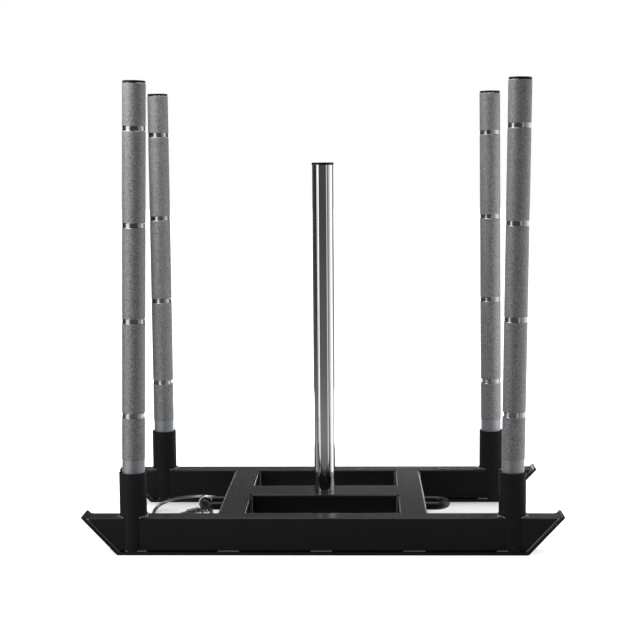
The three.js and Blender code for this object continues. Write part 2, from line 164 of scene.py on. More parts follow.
class DeckSettings(bpy.types.PropertyGroup):
    cross_spacing: length_property("Cross bars", 0.41, "Between the middles of the cross bars")
    cross_size: length_property("Cross bar size", 0.0635, "Square tube of the cross bars")
    centre_width: length_property("Centre bar width", 0.1016, "Centre bar across")
    centre_height: length_property("Centre bar height", 0.0508, "Centre bar upright")
    wall: length_property("Wall", 0.0032, "Wall of the deck bars")
    corner: length_property("Corner", 0.006, "Outer corner of the deck bars")
    tow_rod: length_property("Tow rod", 0.01905, "Round bar of the tow eyes")
    tow_width: length_property("Tow eye width", 0.0762, "Tow eye across")
    tow_reach: length_property("Tow eye reach", 0.0635, "How far a tow eye stands out")


class PostSettings(bpy.types.PropertyGroup):
    outer: length_property("Outside", 0.05, "Post tube across")
    wall: length_property("Wall", 0.003, "Wall of the post tube")
    length: length_property("Length", 0.778, "Post tube")
    cap_width: length_property("Cap width", 0.052, "Plastic cap across")
    cap_height: length_property("Cap height", 0.005, "Plastic cap above the tube")
    bolt: length_property("Bolt", 0.016, "Bolt that holds the post down")
    bolt_flats: length_property("Bolt head", 0.024, "Across the flats of the bolt's head")


class PoleSettings(bpy.types.PropertyGroup):
    outer: length_property("Outside", 0.05, "Plain part of the pole")
    wall: length_property("Wall", 0.003, "Wall of the pole")
    length: length_property("Length", 1.032, "Pole without its cap")
    grip: length_property("Grip", 0.0514, "Across the knurled grip")
    grip_start: length_property("Grip start", 0.205, "Height at which the knurling starts")
    first_band: length_property("First band", 0.3045, "Middle of the lowest smooth band")
    band_pitch: length_property("Band pitch", 0.2095, "From band to band")
    band_height: length_property("Band height", 0.0115, "Height of a smooth band")
    band_depth: length_property("Band depth", 0.0009, "How far a band is turned down")
    chamfer: length_property("Chamfer", 0.0018, "Chamfer at the top")
    cap_width: length_property("Cap width", 0.0502, "Plastic cap across")
    cap_height: length_property("Cap height", 0.004, "Plastic cap above the pole")
    knurl_pitch: length_property("Knurl pitch", 0.0038, "From one knurl diamond to the next")


class WeldSettings(bpy.types.PropertyGroup):
    pitch: length_property("Pitch", 0.0031, "From ripple to ripple of a bead")
    width: length_property("Width", 0.0062, "Bead across")
    height: length_property("Height", 0.0034, "Bead above the joint")
    stitch: length_property("Stitch", 0.046, "Length of a stitch weld under the runners")
    fillet: length_property("Fillet", 0.0085, "Across the face of the fillets up the slopes")


class FinishSettings(bpy.types.PropertyGroup):
    powder: colour_property("Powder coat", "#181819", "Frame paint")
    # The deck's powder is the frame's paint made darker: painted shade on the deck bars, whose tops
    # catch more light
    deck_powder_painted_shade: colour_property("Deck powder coat", "#131314", "Deck paint")
    tow_powder: colour_property("Tow eye paint", "#141415", "Glossy paint of the tow eyes")
    grip: colour_property("Grip", "#C9CACC", "Knurled steel of the grips")
    plain: colour_property("Plain pole", "#ACAFB3", "Satin steel below the grips")
    band: colour_property("Band", "#A9ABAD", "Polished bands")
    chrome: colour_property("Chrome", "#D6D8DA", "Plate post")
    zinc: colour_property("Zinc", "#B4B7BA", "Bolt and washers")
    shackle: colour_property("Shackle", "#B4B6B8", "Polished shackle")
    ferrule: colour_property("Ferrule", "#77797B", "Crimped ferrule")
    plastic: colour_property("Caps", "#0E0E0F", "Moulded caps")


# Each pole: its name, the end and side where it stands, and its lean in the loose socket, in
# radians
POLES = (
    ("front_left_pole", -1, -1, 0.023),
    ("rear_left_pole", 1, -1, 0.011),
    ("front_right_pole", -1, 1, 0.0),
    ("rear_right_pole", 1, 1, -0.009),
)

# Centre line of the sling in metres: from the ferrule over the shackle's pin, round behind
# the tow eye, down to the floor and back up to the ferrule
SLING_ROUTE = [
    (-0.304, -0.0014, 0.0354),
    (-0.3, -0.0002, 0.036),
    (-0.295, 0.0032, 0.0354),
    (-0.2895, 0.0097, 0.0345),
    (-0.2839, 0.0162, 0.035),
    (-0.2763, 0.0231, 0.0353),
    (-0.2665, 0.0315, 0.0356),
    (-0.2585, 0.043, 0.0367),
    (-0.2545, 0.057, 0.0384),
    (-0.2565, 0.071, 0.0402),
    (-0.2655, 0.084, 0.0417),
    (-0.28, 0.092, 0.0431),
    (-0.297, 0.0955, 0.044),
    (-0.314, 0.098, 0.0438),
    (-0.336, 0.106, 0.0412),
    (-0.356, 0.115, 0.0374),
    (-0.374, 0.1235, 0.0326),
    (-0.39, 0.1305, 0.027),
    (-0.404, 0.135, 0.0215),
    (-0.416, 0.1345, 0.0158),
    (-0.425, 0.1265, 0.0102),
    (-0.4295, 0.112, 0.006),
    (-0.4305, 0.094, 0.0043),
    (-0.4295, 0.074, 0.0043),
    (-0.427, 0.054, 0.0043),
    (-0.4225, 0.035, 0.0043),
    (-0.415, 0.017, 0.0046),
    (-0.404, 0.001, 0.0063),
    (-0.39, -0.011, 0.0103),
    (-0.375, -0.0166, 0.0162),
    (-0.36, -0.0168, 0.0222),
    (-0.347, -0.014, 0.0269),
    (-0.338, -0.0116, 0.0294),
    (-0.334, -0.0104, 0.0303),
]


# Panels of the light tent, which chrome and gloss paint reflect. Each has stops round the tent,
# in degrees from the camera's side with the left below zero, and stops up it in metres, all
# with a brightness; the two readings are multiplied, and the panels added up
TENT_PANELS = (
    # Dim walls, brighter towards the floor
    (
        (
            (-180, 0.04), (-76, 0.04), (-72, 0.08), (45, 0.08), (56, 0.1), (120, 0.1),
            (150, 0.05), (180, 0.04),
        ),
        (
            (-0.3, 1.0), (-0.1, 2.0), (-0.03, 3.0), (0.03, 3.0), (0.16, 2.2), (0.29, 1.7),
            (0.43, 1.5), (0.62, 1.1), (0.78, 1.0), (1.3, 1.0), (1.6, 0.3),
        ),
    ),
    # Strip on the left
    (
        ((-70, 0), (-66, 1), (-47, 1), (-44, 0)),
        ((-0.4, 1.2), (0.1, 1.3), (0.45, 1.5), (0.8, 1.9), (1.1, 2.3), (1.25, 2.3), (1.5, 0.1)),
    ),
    # Slit on the right
    (((36, 0), (39, 1), (46, 1), (49, 0)), ((-0.3, 0.7), (1.0, 0.8), (1.1, 0.05))),
    # Broad panel on the right
    (
        (
            (54, 0), (58, 0.4), (68, 0.45), (76, 0.7), (88, 1.1), (98, 1.5), (115, 1.5),
            (120, 0.35), (128, 0.3), (136, 0.08), (146, 0.08), (152, 0),
        ),
        ((-0.3, 0.9), (0.0, 1.0), (1.15, 1.1), (1.3, 0.1)),
    ),
    # Foot of the left wall
    (
        ((-150, 0), (-132, 1), (-92, 1), (-78, 0)),
        (
            (-0.4, 0.3), (-0.1, 0.32), (-0.03, 0.28), (0.03, 0.2), (0.16, 0.08), (0.3, 0.02),
            (0.45, 0),
        ),
    ),
    # Low line behind, which the rounded edges of the bars catch
    (
        ((-180, 1), (-178, 1), (-176, 0.35), (-145, 0.35), (-138, 0), (147, 0), (151, 1), (180, 1)),
        ((-0.05, 0), (0.0, 8), (0.12, 8), (0.15, 0)),
    ),
    # Behind: a dim stretch, and a paler one over it
    (
        ((-180, 1), (-150, 1), (-140, 0), (128, 0), (140, 1), (180, 1)),
        ((-0.3, 0), (0.0, 0.06), (0.6, 0.05), (0.68, 0.25), (0.88, 0.25), (0.98, 0.0)),
    ),
    # High on the left
    (((-112, 0), (-100, 1), (-45, 1), (-35, 0)), ((1.1, 0), (1.28, 2.7), (2.2, 2.7), (2.6, 0))),
    # High in front, which rounded edges and weld beads catch as a fine line
    (((-75, 0), (-65, 1), (65, 1), (75, 0)), ((2.1, 0), (2.2, 2), (2.6, 2), (2.7, 0))),
    # High behind
    (
        ((-180, 1), (-142, 1), (-132, 0), (132, 0), (142, 1), (180, 1)),
        ((1.25, 0), (1.4, 1.8), (3.0, 1.8)),
    ),
)

# Each lamp: name, place, what it points at, its width and height, and its power in watts
LAMPS = (
    ("left_strip_lamp", (-2.1, -1.6, 1.1), (0, 0, 0.6), 0.6, 2.4, 45),
    ("right_panel_lamp", (2.5, 0.5, 1.1), (0, 0, 0.5), 1.6, 2.2, 30),
    ("top_panel_lamp", (0, 0.9, 2.8), (0, 0, 0), 2.4, 2.0, 60),
)

# The runners and the ends of the sled, and what their pieces are called
SIDES = ((-1, "left"), (1, "right"))
ENDS = ((-1, "front"), (1, "rear"))

# Turns that lay an upright bar along X and along Y
ALONG_X = (0, math.pi / 2, 0)
ALONG_Y = (math.pi / 2, 0, 0)

# Play of a pin, a cap or a sleeve in its place, and radius of the hole for the post's bolt
PLAY = 0.0003
BOLT_HOLE = 0.0085


# Materials. The scale of each pattern is one over its real size in metres


def add_node(tree, kind, inputs=None, **settings):
    """Adds one node with its settings. Each input is set to a value, or linked to a socket or
    to another node's first output."""
    node = tree.nodes.new("ShaderNode" + kind)
    for key, value in settings.items():
        setattr(node, key, value)
    for key, value in (inputs or {}).items():
        if isinstance(value, bpy.types.Node):
            value = value.outputs[0]
        if isinstance(value, bpy.types.NodeSocket):
            tree.links.new(value, node.inputs[key])
        else:
            node.inputs[key].default_value = value
    return node


def new_material(name):
    """An empty node material, and its tree."""
    material = bpy.data.materials.new(name)
    material.use_nodes = True
    material.node_tree.nodes.clear()
    return material, material.node_tree


def finish_material(material, tree, surface, colour):
    """Gives the material its surface, and its plain colour in the viewport."""
    add_node(tree, "OutputMaterial", {"Surface": surface})
    material.diffuse_color = (*colour, 1)
    return material


def toned(colour, share):
    """The colour times a share, no brighter than white, as shaders take it."""
    return (*(min(1, c * share) for c in colour), 1)


def powder_coat(name, colour, roughness, grain, ior=1.32):
    """Mild steel tube under a sprayed and baked polyester powder: a fine orange-peel skin
    that spreads its highlights, slightly duller where the powder lies thinner."""
    material, tree = new_material(name)
    place = add_node(tree, "TexCoord").outputs["Object"]
    # Orange peel of about 1.6 mm, and broad drifts of about 60 mm
    peel = add_node(tree, "TexNoise", {"Vector": place, "Scale": 1 / 0.0016, "Detail": 2.0})
    drift = add_node(tree, "TexNoise", {"Vector": place, "Scale": 1 / 0.06, "Detail": 4.0})
    # Inputs 6 and 7 are the two colours that are mixed, and output 2 is their mix
    shade = add_node(
        tree,
        "Mix",
        {"Factor": drift, 6: toned(colour, 0.85), 7: toned(colour, 1.2)},
        data_type="RGBA",
    )
    rough = add_node(
        tree,
        "MapRange",
        {"Value": drift, "To Min": roughness - 0.05, "To Max": roughness + 0.07},
    )
    bump = add_node(tree, "Bump", {"Strength": grain, "Distance": 0.00012, "Height": peel})
    shader = add_node(
        tree,
        "BsdfPrincipled",
        {"Base Color": shade.outputs[2], "Roughness": rough, "IOR": ior, "Normal": bump},
    )
    return finish_material(material, tree, shader, colour)


def metal(name, colour, roughness, streak=0.0):
    """Bare or plated metal: roughness varies a little, and a turned or drawn surface has
    fine lines across its axis, which is Z."""
    material, tree = new_material(name)
    place = add_node(tree, "TexCoord").outputs["Object"]
    # Blotches of about 15 mm in the polish
    drift = add_node(tree, "TexNoise", {"Vector": place, "Scale": 1 / 0.015, "Detail": 3.0})
    rough = add_node(
        tree,
        "MapRange",
        {"Value": drift, "To Min": roughness * 0.85, "To Max": roughness * 1.2},
    )
    inputs = {"Base Color": (*colour, 1), "Metallic": 1.0, "Roughness": rough}
    if streak:
        # Tool lines 0.8 mm apart, drawn coarser than the real ones so that they show
        stretch = (1 / 0.02, 1 / 0.02, 1 / 0.0008)
        scaled = add_node(tree, "Mapping", {"Vector": place, "Scale": stretch})
        lines = add_node(tree, "TexNoise", {"Vector": scaled, "Scale": 1.0, "Detail": 1.0})
        inputs["Normal"] = add_node(
            tree, "Bump", {"Strength": streak, "Distance": 0.00008, "Height": lines}
        )
    return finish_material(material, tree, add_node(tree, "BsdfPrincipled", inputs), colour)


def knurled_steel(name, colour, pitch):
    """Turned steel with a rolled diamond knurl under a dull grey plate: it breaks every
    highlight into grains and reads as an even satin grey from a step away."""
    material, tree = new_material(name)
    coords = add_node(tree, "TexCoord")
    # The pole's UV map is in metres round it and up it
    parts = add_node(tree, "SeparateXYZ", {"Vector": coords.outputs["UV"]})
    waves = []
    for sign in (1.0, -1.0):
        slant = add_node(tree, "Math", {0: parts.outputs["Y"], 1: sign}, operation="MULTIPLY")
        mixed = add_node(tree, "Math", {0: parts.outputs["X"], 1: slant}, operation="ADD")
        waves.append(add_node(tree, "Math", {0: mixed, 1: pitch / 2}, operation="PINGPONG"))
    diamond = add_node(tree, "Math", {0: waves[0], 1: waves[1]}, operation="MINIMUM")
    height = add_node(tree, "Math", {0: diamond, 1: 2 / pitch}, operation="MULTIPLY")
    # Uneven grains of about 3 mm where the plate lies duller, over the diamonds
    place = coords.outputs["Object"]
    grain = add_node(tree, "TexNoise", {"Vector": place, "Scale": 1 / 0.003, "Detail": 2.0})
    both = add_node(tree, "Math", {0: height, 1: grain}, operation="ADD")
    half = add_node(tree, "Math", {0: both, 1: 0.5}, operation="MULTIPLY")
    # Painted shade in the valleys of the knurl and a painted highlight on its points; the grains
    # add an uneven tone
    shade = add_node(tree, "ValToRGB", {"Fac": half})
    knurl_valley_painted_shade, point = shade.color_ramp.elements
    knurl_valley_painted_shade.position, knurl_valley_painted_shade.color = 0.16, toned(colour, 0.45)
    point.position, point.color = 0.52, toned(colour, 1.22)
    bump = add_node(tree, "Bump", {"Strength": 0.25, "Distance": 0.0006, "Height": both})
    shader = add_node(
        tree,
        "BsdfPrincipled",
        {"Base Color": shade, "Metallic": 1.0, "Roughness": 0.7, "Normal": bump},
    )
    return finish_material(material, tree, shader, colour)


def moulded_plastic(name, colour):
    """Injection-moulded polyethylene with a spark-eroded grain: dull black with a soft sheen."""
    material, tree = new_material(name)
    place = add_node(tree, "TexCoord").outputs["Object"]
    grain = add_node(tree, "TexNoise", {"Vector": place, "Scale": 1 / 0.0009, "Detail": 2.0})
    bump = add_node(tree, "Bump", {"Strength": 0.25, "Distance": 0.0001, "Height": grain})
    rough = add_node(tree, "MapRange", {"Value": grain, "To Min": 0.42, "To Max": 0.55})
    shader = add_node(
        tree,
        "BsdfPrincipled",
        {"Base Color": (*colour, 1), "Roughness": rough, "IOR": 1.35, "Normal": bump},
    )
    return finish_material(material, tree, shader, colour)


def jacketed_wire(name, colour, length, lay, diameter):
    """Galvanised wire rope in a clear vinyl jacket: slanted strands with a painted highlight on
    their backs and painted shade between them, under a smooth gloss."""
    material, tree = new_material(name)
    strands = 6
    # A curve's own UV map runs from 0 to 1 along it and round it
    uv = add_node(tree, "TexCoord").outputs["UV"]
    parts = add_node(tree, "SeparateXYZ", {"Vector": uv})
    turns = length / lay * strands
    along = add_node(tree, "Math", {0: parts.outputs["X"], 1: turns}, operation="MULTIPLY")
    turn = add_node(tree, "Math", {0: parts.outputs["Y"], 1: strands}, operation="MULTIPLY")
    strand = add_node(tree, "Math", {0: along, 1: turn}, operation="ADD")
    wave = add_node(tree, "Math", {0: strand, 1: 0.5}, operation="PINGPONG")
    height = add_node(tree, "Math", {0: wave, 1: 2.0}, operation="MULTIPLY")
    # Painted shade in the gaps between the strands, and a painted highlight on their backs
    shade = add_node(tree, "ValToRGB", {"Fac": height})
    gap, strand_painted_highlight = shade.color_ramp.elements
    gap.position, gap.color = 0.1, toned(colour, 0.12)
    strand_painted_highlight.position, strand_painted_highlight.color = 0.75, toned(colour, 1.2)
    bump = add_node(tree, "Bump", {"Strength": 0.3, "Distance": diameter / 16, "Height": wave})
    shader = add_node(
        tree,
        "BsdfPrincipled",
        {
            "Base Color": shade,
            "Metallic": 0.8,
            "Roughness": 0.2,
            "IOR": 1.5,
            "Coat Weight": 1.0,
            "Coat Roughness": 0.05,
            "Normal": bump,
        },
    )
    return finish_material(material, tree, shader, colour)


# Modelling


def start_fresh():
    """Leaves edit mode and deselects all, because an operator acts on all that is selected."""
    active = bpy.context.view_layer.objects.active
    if active and active.mode != "OBJECT":
        bpy.ops.object.mode_set(mode="OBJECT")
    bpy.ops.object.select_all(action="DESELECT")


def make_active(piece):
    """Selects one piece alone."""
    start_fresh()
    piece.select_set(True)
    bpy.context.view_layer.objects.active = piece
    return piece


def edit(piece):
    """Opens the piece's mesh in edit mode, with nothing selected."""
    make_active(piece)
    bpy.ops.object.mode_set(mode="EDIT")
    bpy.ops.mesh.select_all(action="DESELECT")


def leave_edit():
    bpy.ops.object.mode_set(mode="OBJECT")


def settle(piece):
    """Puts the piece's place, turn and size in its mesh."""
    make_active(piece)
    bpy.ops.object.transform_apply(location=True, rotation=True, scale=True)
    return piece


def pick_faces(piece, test):
    """Selects the faces that pass the test, and no others."""
    bpy.context.tool_settings.mesh_select_mode = (False, False, True)
    bpy.ops.mesh.select_all(action="DESELECT")
    mesh = bmesh.from_edit_mesh(piece.data)
    for face in mesh.faces:
        face.select_set(bool(test(face)))
    bmesh.update_edit_mesh(piece.data)


def pick_edges(piece, test):
    """Selects the edges that pass the test, and no others."""
    bpy.context.tool_settings.mesh_select_mode = (False, True, False)
    bpy.ops.mesh.select_all(action="DESELECT")
    mesh = bmesh.from_edit_mesh(piece.data)
    for edge in mesh.edges:
        if test(edge):
            edge.select_set(True)
    bmesh.update_edit_mesh(piece.data)


def pick_corners(piece, test):
    """Selects the edges whose two corners both pass the test, and no others."""
    pick_edges(piece, lambda edge: all(test(corner) for corner in edge.verts))


def runs_along(edge, axis):
    """Whether the edge is parallel to an axis, given by its number."""
    run = edge.verts[1].co - edge.verts[0].co
    return abs(run[axis]) > 0.999 * run.length


def outward_normals(piece):
    """Merges doubles, and turns every face outwards."""
    edit(piece)
    bpy.ops.mesh.select_all(action="SELECT")
    bpy.ops.mesh.remove_doubles(threshold=1e-7)
    bpy.ops.mesh.normals_make_consistent(inside=False)
    leave_edit()
    return piece


def apply_modifier(piece, kind, **settings):
    """Adds a modifier to the piece and applies it."""
    make_active(piece)
    modifier = piece.modifiers.new(kind.lower(), kind)
    for key, value in settings.items():
        setattr(modifier, key, value)
    bpy.ops.object.modifier_apply(modifier=modifier.name)
    return piece


def ease_edges(piece, width, segments=3, angle=35):
    """Rounds the edges that are sharper than the angle, in degrees."""
    return apply_modifier(
        piece,
        "BEVEL",
        width=width,
        segments=segments,
        limit_method="ANGLE",
        angle_limit=math.radians(angle),
        use_clamp_overlap=True,
    )


def cut_out(piece, cutter):
    """Takes the cutter's shape out of the piece, and does away with the cutter."""
    apply_modifier(piece, "BOOLEAN", operation="DIFFERENCE", object=cutter, solver="EXACT")
    bpy.data.objects.remove(cutter)
    return piece


def weld_on(piece, other):
    """Makes another solid one with the piece."""
    apply_modifier(piece, "BOOLEAN", operation="UNION", object=other, solver="EXACT")
    bpy.data.objects.remove(other)
    return piece


def smooth(piece, angle=30):
    """Smooth shading up to the angle, with the large flat faces kept flat."""
    make_active(piece)
    bpy.ops.object.shade_smooth_by_angle(angle=math.radians(angle))
    return apply_modifier(piece, "WEIGHTED_NORMAL", mode="FACE_AREA", weight=50, keep_sharp=True)


def add_box(size, centre):
    """Box of a size round its centre."""
    start_fresh()
    bpy.ops.mesh.primitive_cube_add(size=1, location=centre)
    box = bpy.context.object
    box.scale = size
    return settle(box)


def add_bar(radius, length, centre, turn=(0, 0, 0), sides=48):
    """Round bar, upright unless it is turned; a bar of six sides is a hexagon."""
    start_fresh()
    bpy.ops.mesh.primitive_cylinder_add(
        vertices=sides, radius=radius, depth=length, location=centre, rotation=turn
    )
    return settle(bpy.context.object)


def turned(profile, sides, solid=True):
    """A piece turned about Z: a circle is extruded and scaled from ring to ring. A solid's end
    rings are filled; otherwise the last ring meets the first."""
    start_fresh()
    radius, height = profile[0]
    bpy.ops.mesh.primitive_circle_add(vertices=sides, radius=radius, location=(0, 0, height))
    piece = settle(bpy.context.object)
    edit(piece)
    bpy.ops.mesh.select_all(action="SELECT")
    for next_radius, next_height in profile[1:]:
        rise = (0, 0, next_height - height)
        bpy.ops.mesh.extrude_edges_move(TRANSFORM_OT_translate={"value": rise})
        ratio = next_radius / radius
        bpy.ops.transform.resize(value=(ratio, ratio, 1), center_override=(0, 0, next_height))
        radius, height = next_radius, next_height
    bpy.ops.mesh.select_all(action="SELECT")
    if solid:
        bpy.ops.mesh.fill_holes(sides=0)
    leave_edit()
    return outward_normals(piece)


def rounded(radius, height, ease, steps=4):
    """Ring points of a quarter round at a turned edge, from its side up to its top."""
    points = []
    for i in range(steps + 1):
        angle = i / steps * math.pi / 2
        side = radius - ease + ease * math.cos(angle)
        points.append((side, height - ease + ease * math.sin(angle)))
    return points


def box_tube(size, centre, axis, corner):
    """Rectangular hollow section along X or Y, with its ends open."""
    tube = add_box(size, centre)
    edit(tube)
    pick_edges(tube, lambda edge: runs_along(edge, axis))
    bpy.ops.mesh.bevel(offset=corner, segments=6, affect="EDGES")
    pick_faces(tube, lambda face: abs(face.normal[axis]) > 0.9)
    bpy.ops.mesh.delete(type="FACE")
    leave_edit()
    return tube


def give_wall(tube, wall):
    """Gives an open tube its wall, inwards from its surface."""
    return apply_modifier(tube, "SOLIDIFY", thickness=wall, offset=-1, use_even_offset=True)


def round_line(points, radius, resolution):
    """Round curve through a line of points, capped at both ends."""
    start_fresh()
    bpy.ops.curve.primitive_nurbs_path_add(location=(0, 0, 0))
    line = bpy.context.object
    line.data.splines.clear()
    spline = line.data.splines.new("POLY")
    spline.points.add(len(points) - 1)
    for point, place in zip(spline.points, points):
        point.co = (*place, 1)
    line.data.dimensions = "3D"
    line.data.twist_mode = "MINIMUM"
    line.data.bevel_depth = radius
    line.data.bevel_resolution = resolution
    line.data.use_fill_caps = True
    return line


def swept_bar(points, radius):
    """Round bar along a line of points, as a mesh."""
    make_active(round_line(points, radius, 5))
    bpy.ops.object.convert(target="MESH")
    return outward_normals(settle(bpy.context.object))


def copy_piece(piece, matrix):
    """A copy with a mesh of its own, moved by the matrix."""
    twin = piece.copy()
    twin.data = piece.data.copy()
    bpy.context.collection.objects.link(twin)
    twin.data.transform(matrix)
    return twin


def joined(pieces):
    """Several pieces as one object, with nothing merged."""
    start_fresh()
    for piece in pieces:
        piece.select_set(True)
    bpy.context.view_layer.objects.active = pieces[0]
    bpy.ops.object.join()
    return settle(bpy.context.object)


def fit_out(piece, name, material, body, nodes=()):
    """Names a finished piece, gives it its material, and hangs it on its body."""
    piece.name = name
    piece.data.name = name
    if material is not None:
        piece.data.materials.clear()
        piece.data.materials.append(material)
    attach(piece, body)
    if nodes:
        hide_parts(*nodes)
    return piece


def dress_node(name, material):
    """A CAD node that keeps its own shape takes a better material."""
    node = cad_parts[name]
    node.data.materials.clear()
    node.data.materials.append(material)


def finishes(scene):
    """The sled's materials, by what they are put on. Each is made the first time."""
    f = scene.push_sled_finish
    knurl = scene.push_sled_pole.knurl_pitch
    # Name, how it is made, its colour, and then roughness, grain and IOR of paint, or
    # roughness and streaks of metal
    recipes = {
        "frame": ("powder_coated_steel", powder_coat, f.powder, 0.22, 0.08),
        "socket": ("powder_coated_pipe", powder_coat, f.powder, 0.62, 0.25, 1.2),
        "weld": ("powder_coated_weld", powder_coat, f.powder, 0.08, 0.02, 2.2),
        # The deck takes the darker copy of the powder coat, as painted shade
        "deck": ("powder_coated_deck", powder_coat, f.deck_powder_painted_shade, 0.22, 0.08),
        "tow": ("gloss_powder_coat", powder_coat, f.tow_powder, 0.2, 0.15),
        "grip": ("knurled_grey_steel", knurled_steel, f.grip, knurl),
        "plain": ("satin_turned_steel", metal, f.plain, 0.62, 0.3),
        "band": ("polished_band_steel", metal, f.band, 0.21, 0.1),
        "chrome": ("chrome_plated_tube", metal, f.chrome, 0.06),
        "zinc": ("zinc_plated_steel", metal, f.zinc, 0.3),
        "shackle": ("polished_forged_steel", metal, f.shackle, 0.14),
        "ferrule": ("crimped_aluminium", metal, f.ferrule, 0.22),
        "plastic": ("moulded_polyethylene", moulded_plastic, f.plastic),
    }
    return {
        use: bpy.data.materials.get(name) or make(name, *values)
        for use, (name, make, *values) in recipes.items()
    }


def tow_face(scene):
    """How far from the sled's middle the cross bars' outer faces are."""
    deck = scene.push_sled_deck
    return deck.cross_spacing / 2 + deck.cross_size / 2


def deck_top(scene):
    """Height of the top of the deck, which is level with the runner tubes."""
    runner = scene.push_sled_runner
    return runner.sole_thickness + runner.gap + runner.height


def tow_height(scene):
    """Height of the tow eyes' centre lines."""
    return deck_top(scene) - scene.push_sled_deck.cross_size / 2


def tip_bend(r):
    """Slope of the runners' ends, and how far the mitre of the bend sets the upper face back."""
    slope = math.atan2(r.tip_rise, r.tip_run)
    return slope, r.sole_thickness * math.tan(slope / 2)


def shackle_matrix(scene):
    """From the shackle's own frame, with its pin along X and its bow up, to the sled's."""
    deck = scene.push_sled_deck
    runner = scene.push_sled_runner
    shackle = scene.push_sled_shackle
    bend = (deck.tow_width - deck.tow_rod) / 2
    leg = deck.tow_reach - deck.tow_width / 2
    x = -(tow_face(scene) + runner.gap + leg) - bend * math.cos(shackle.angle)
    y = bend * math.sin(shackle.angle)
    z = tow_height(scene) + deck.tow_rod / 2 + runner.gap - shackle.inside / 2
    return Matrix.Translation((x, y, z)) @ Matrix.Rotation(math.pi - shackle.angle, 4, "Z")


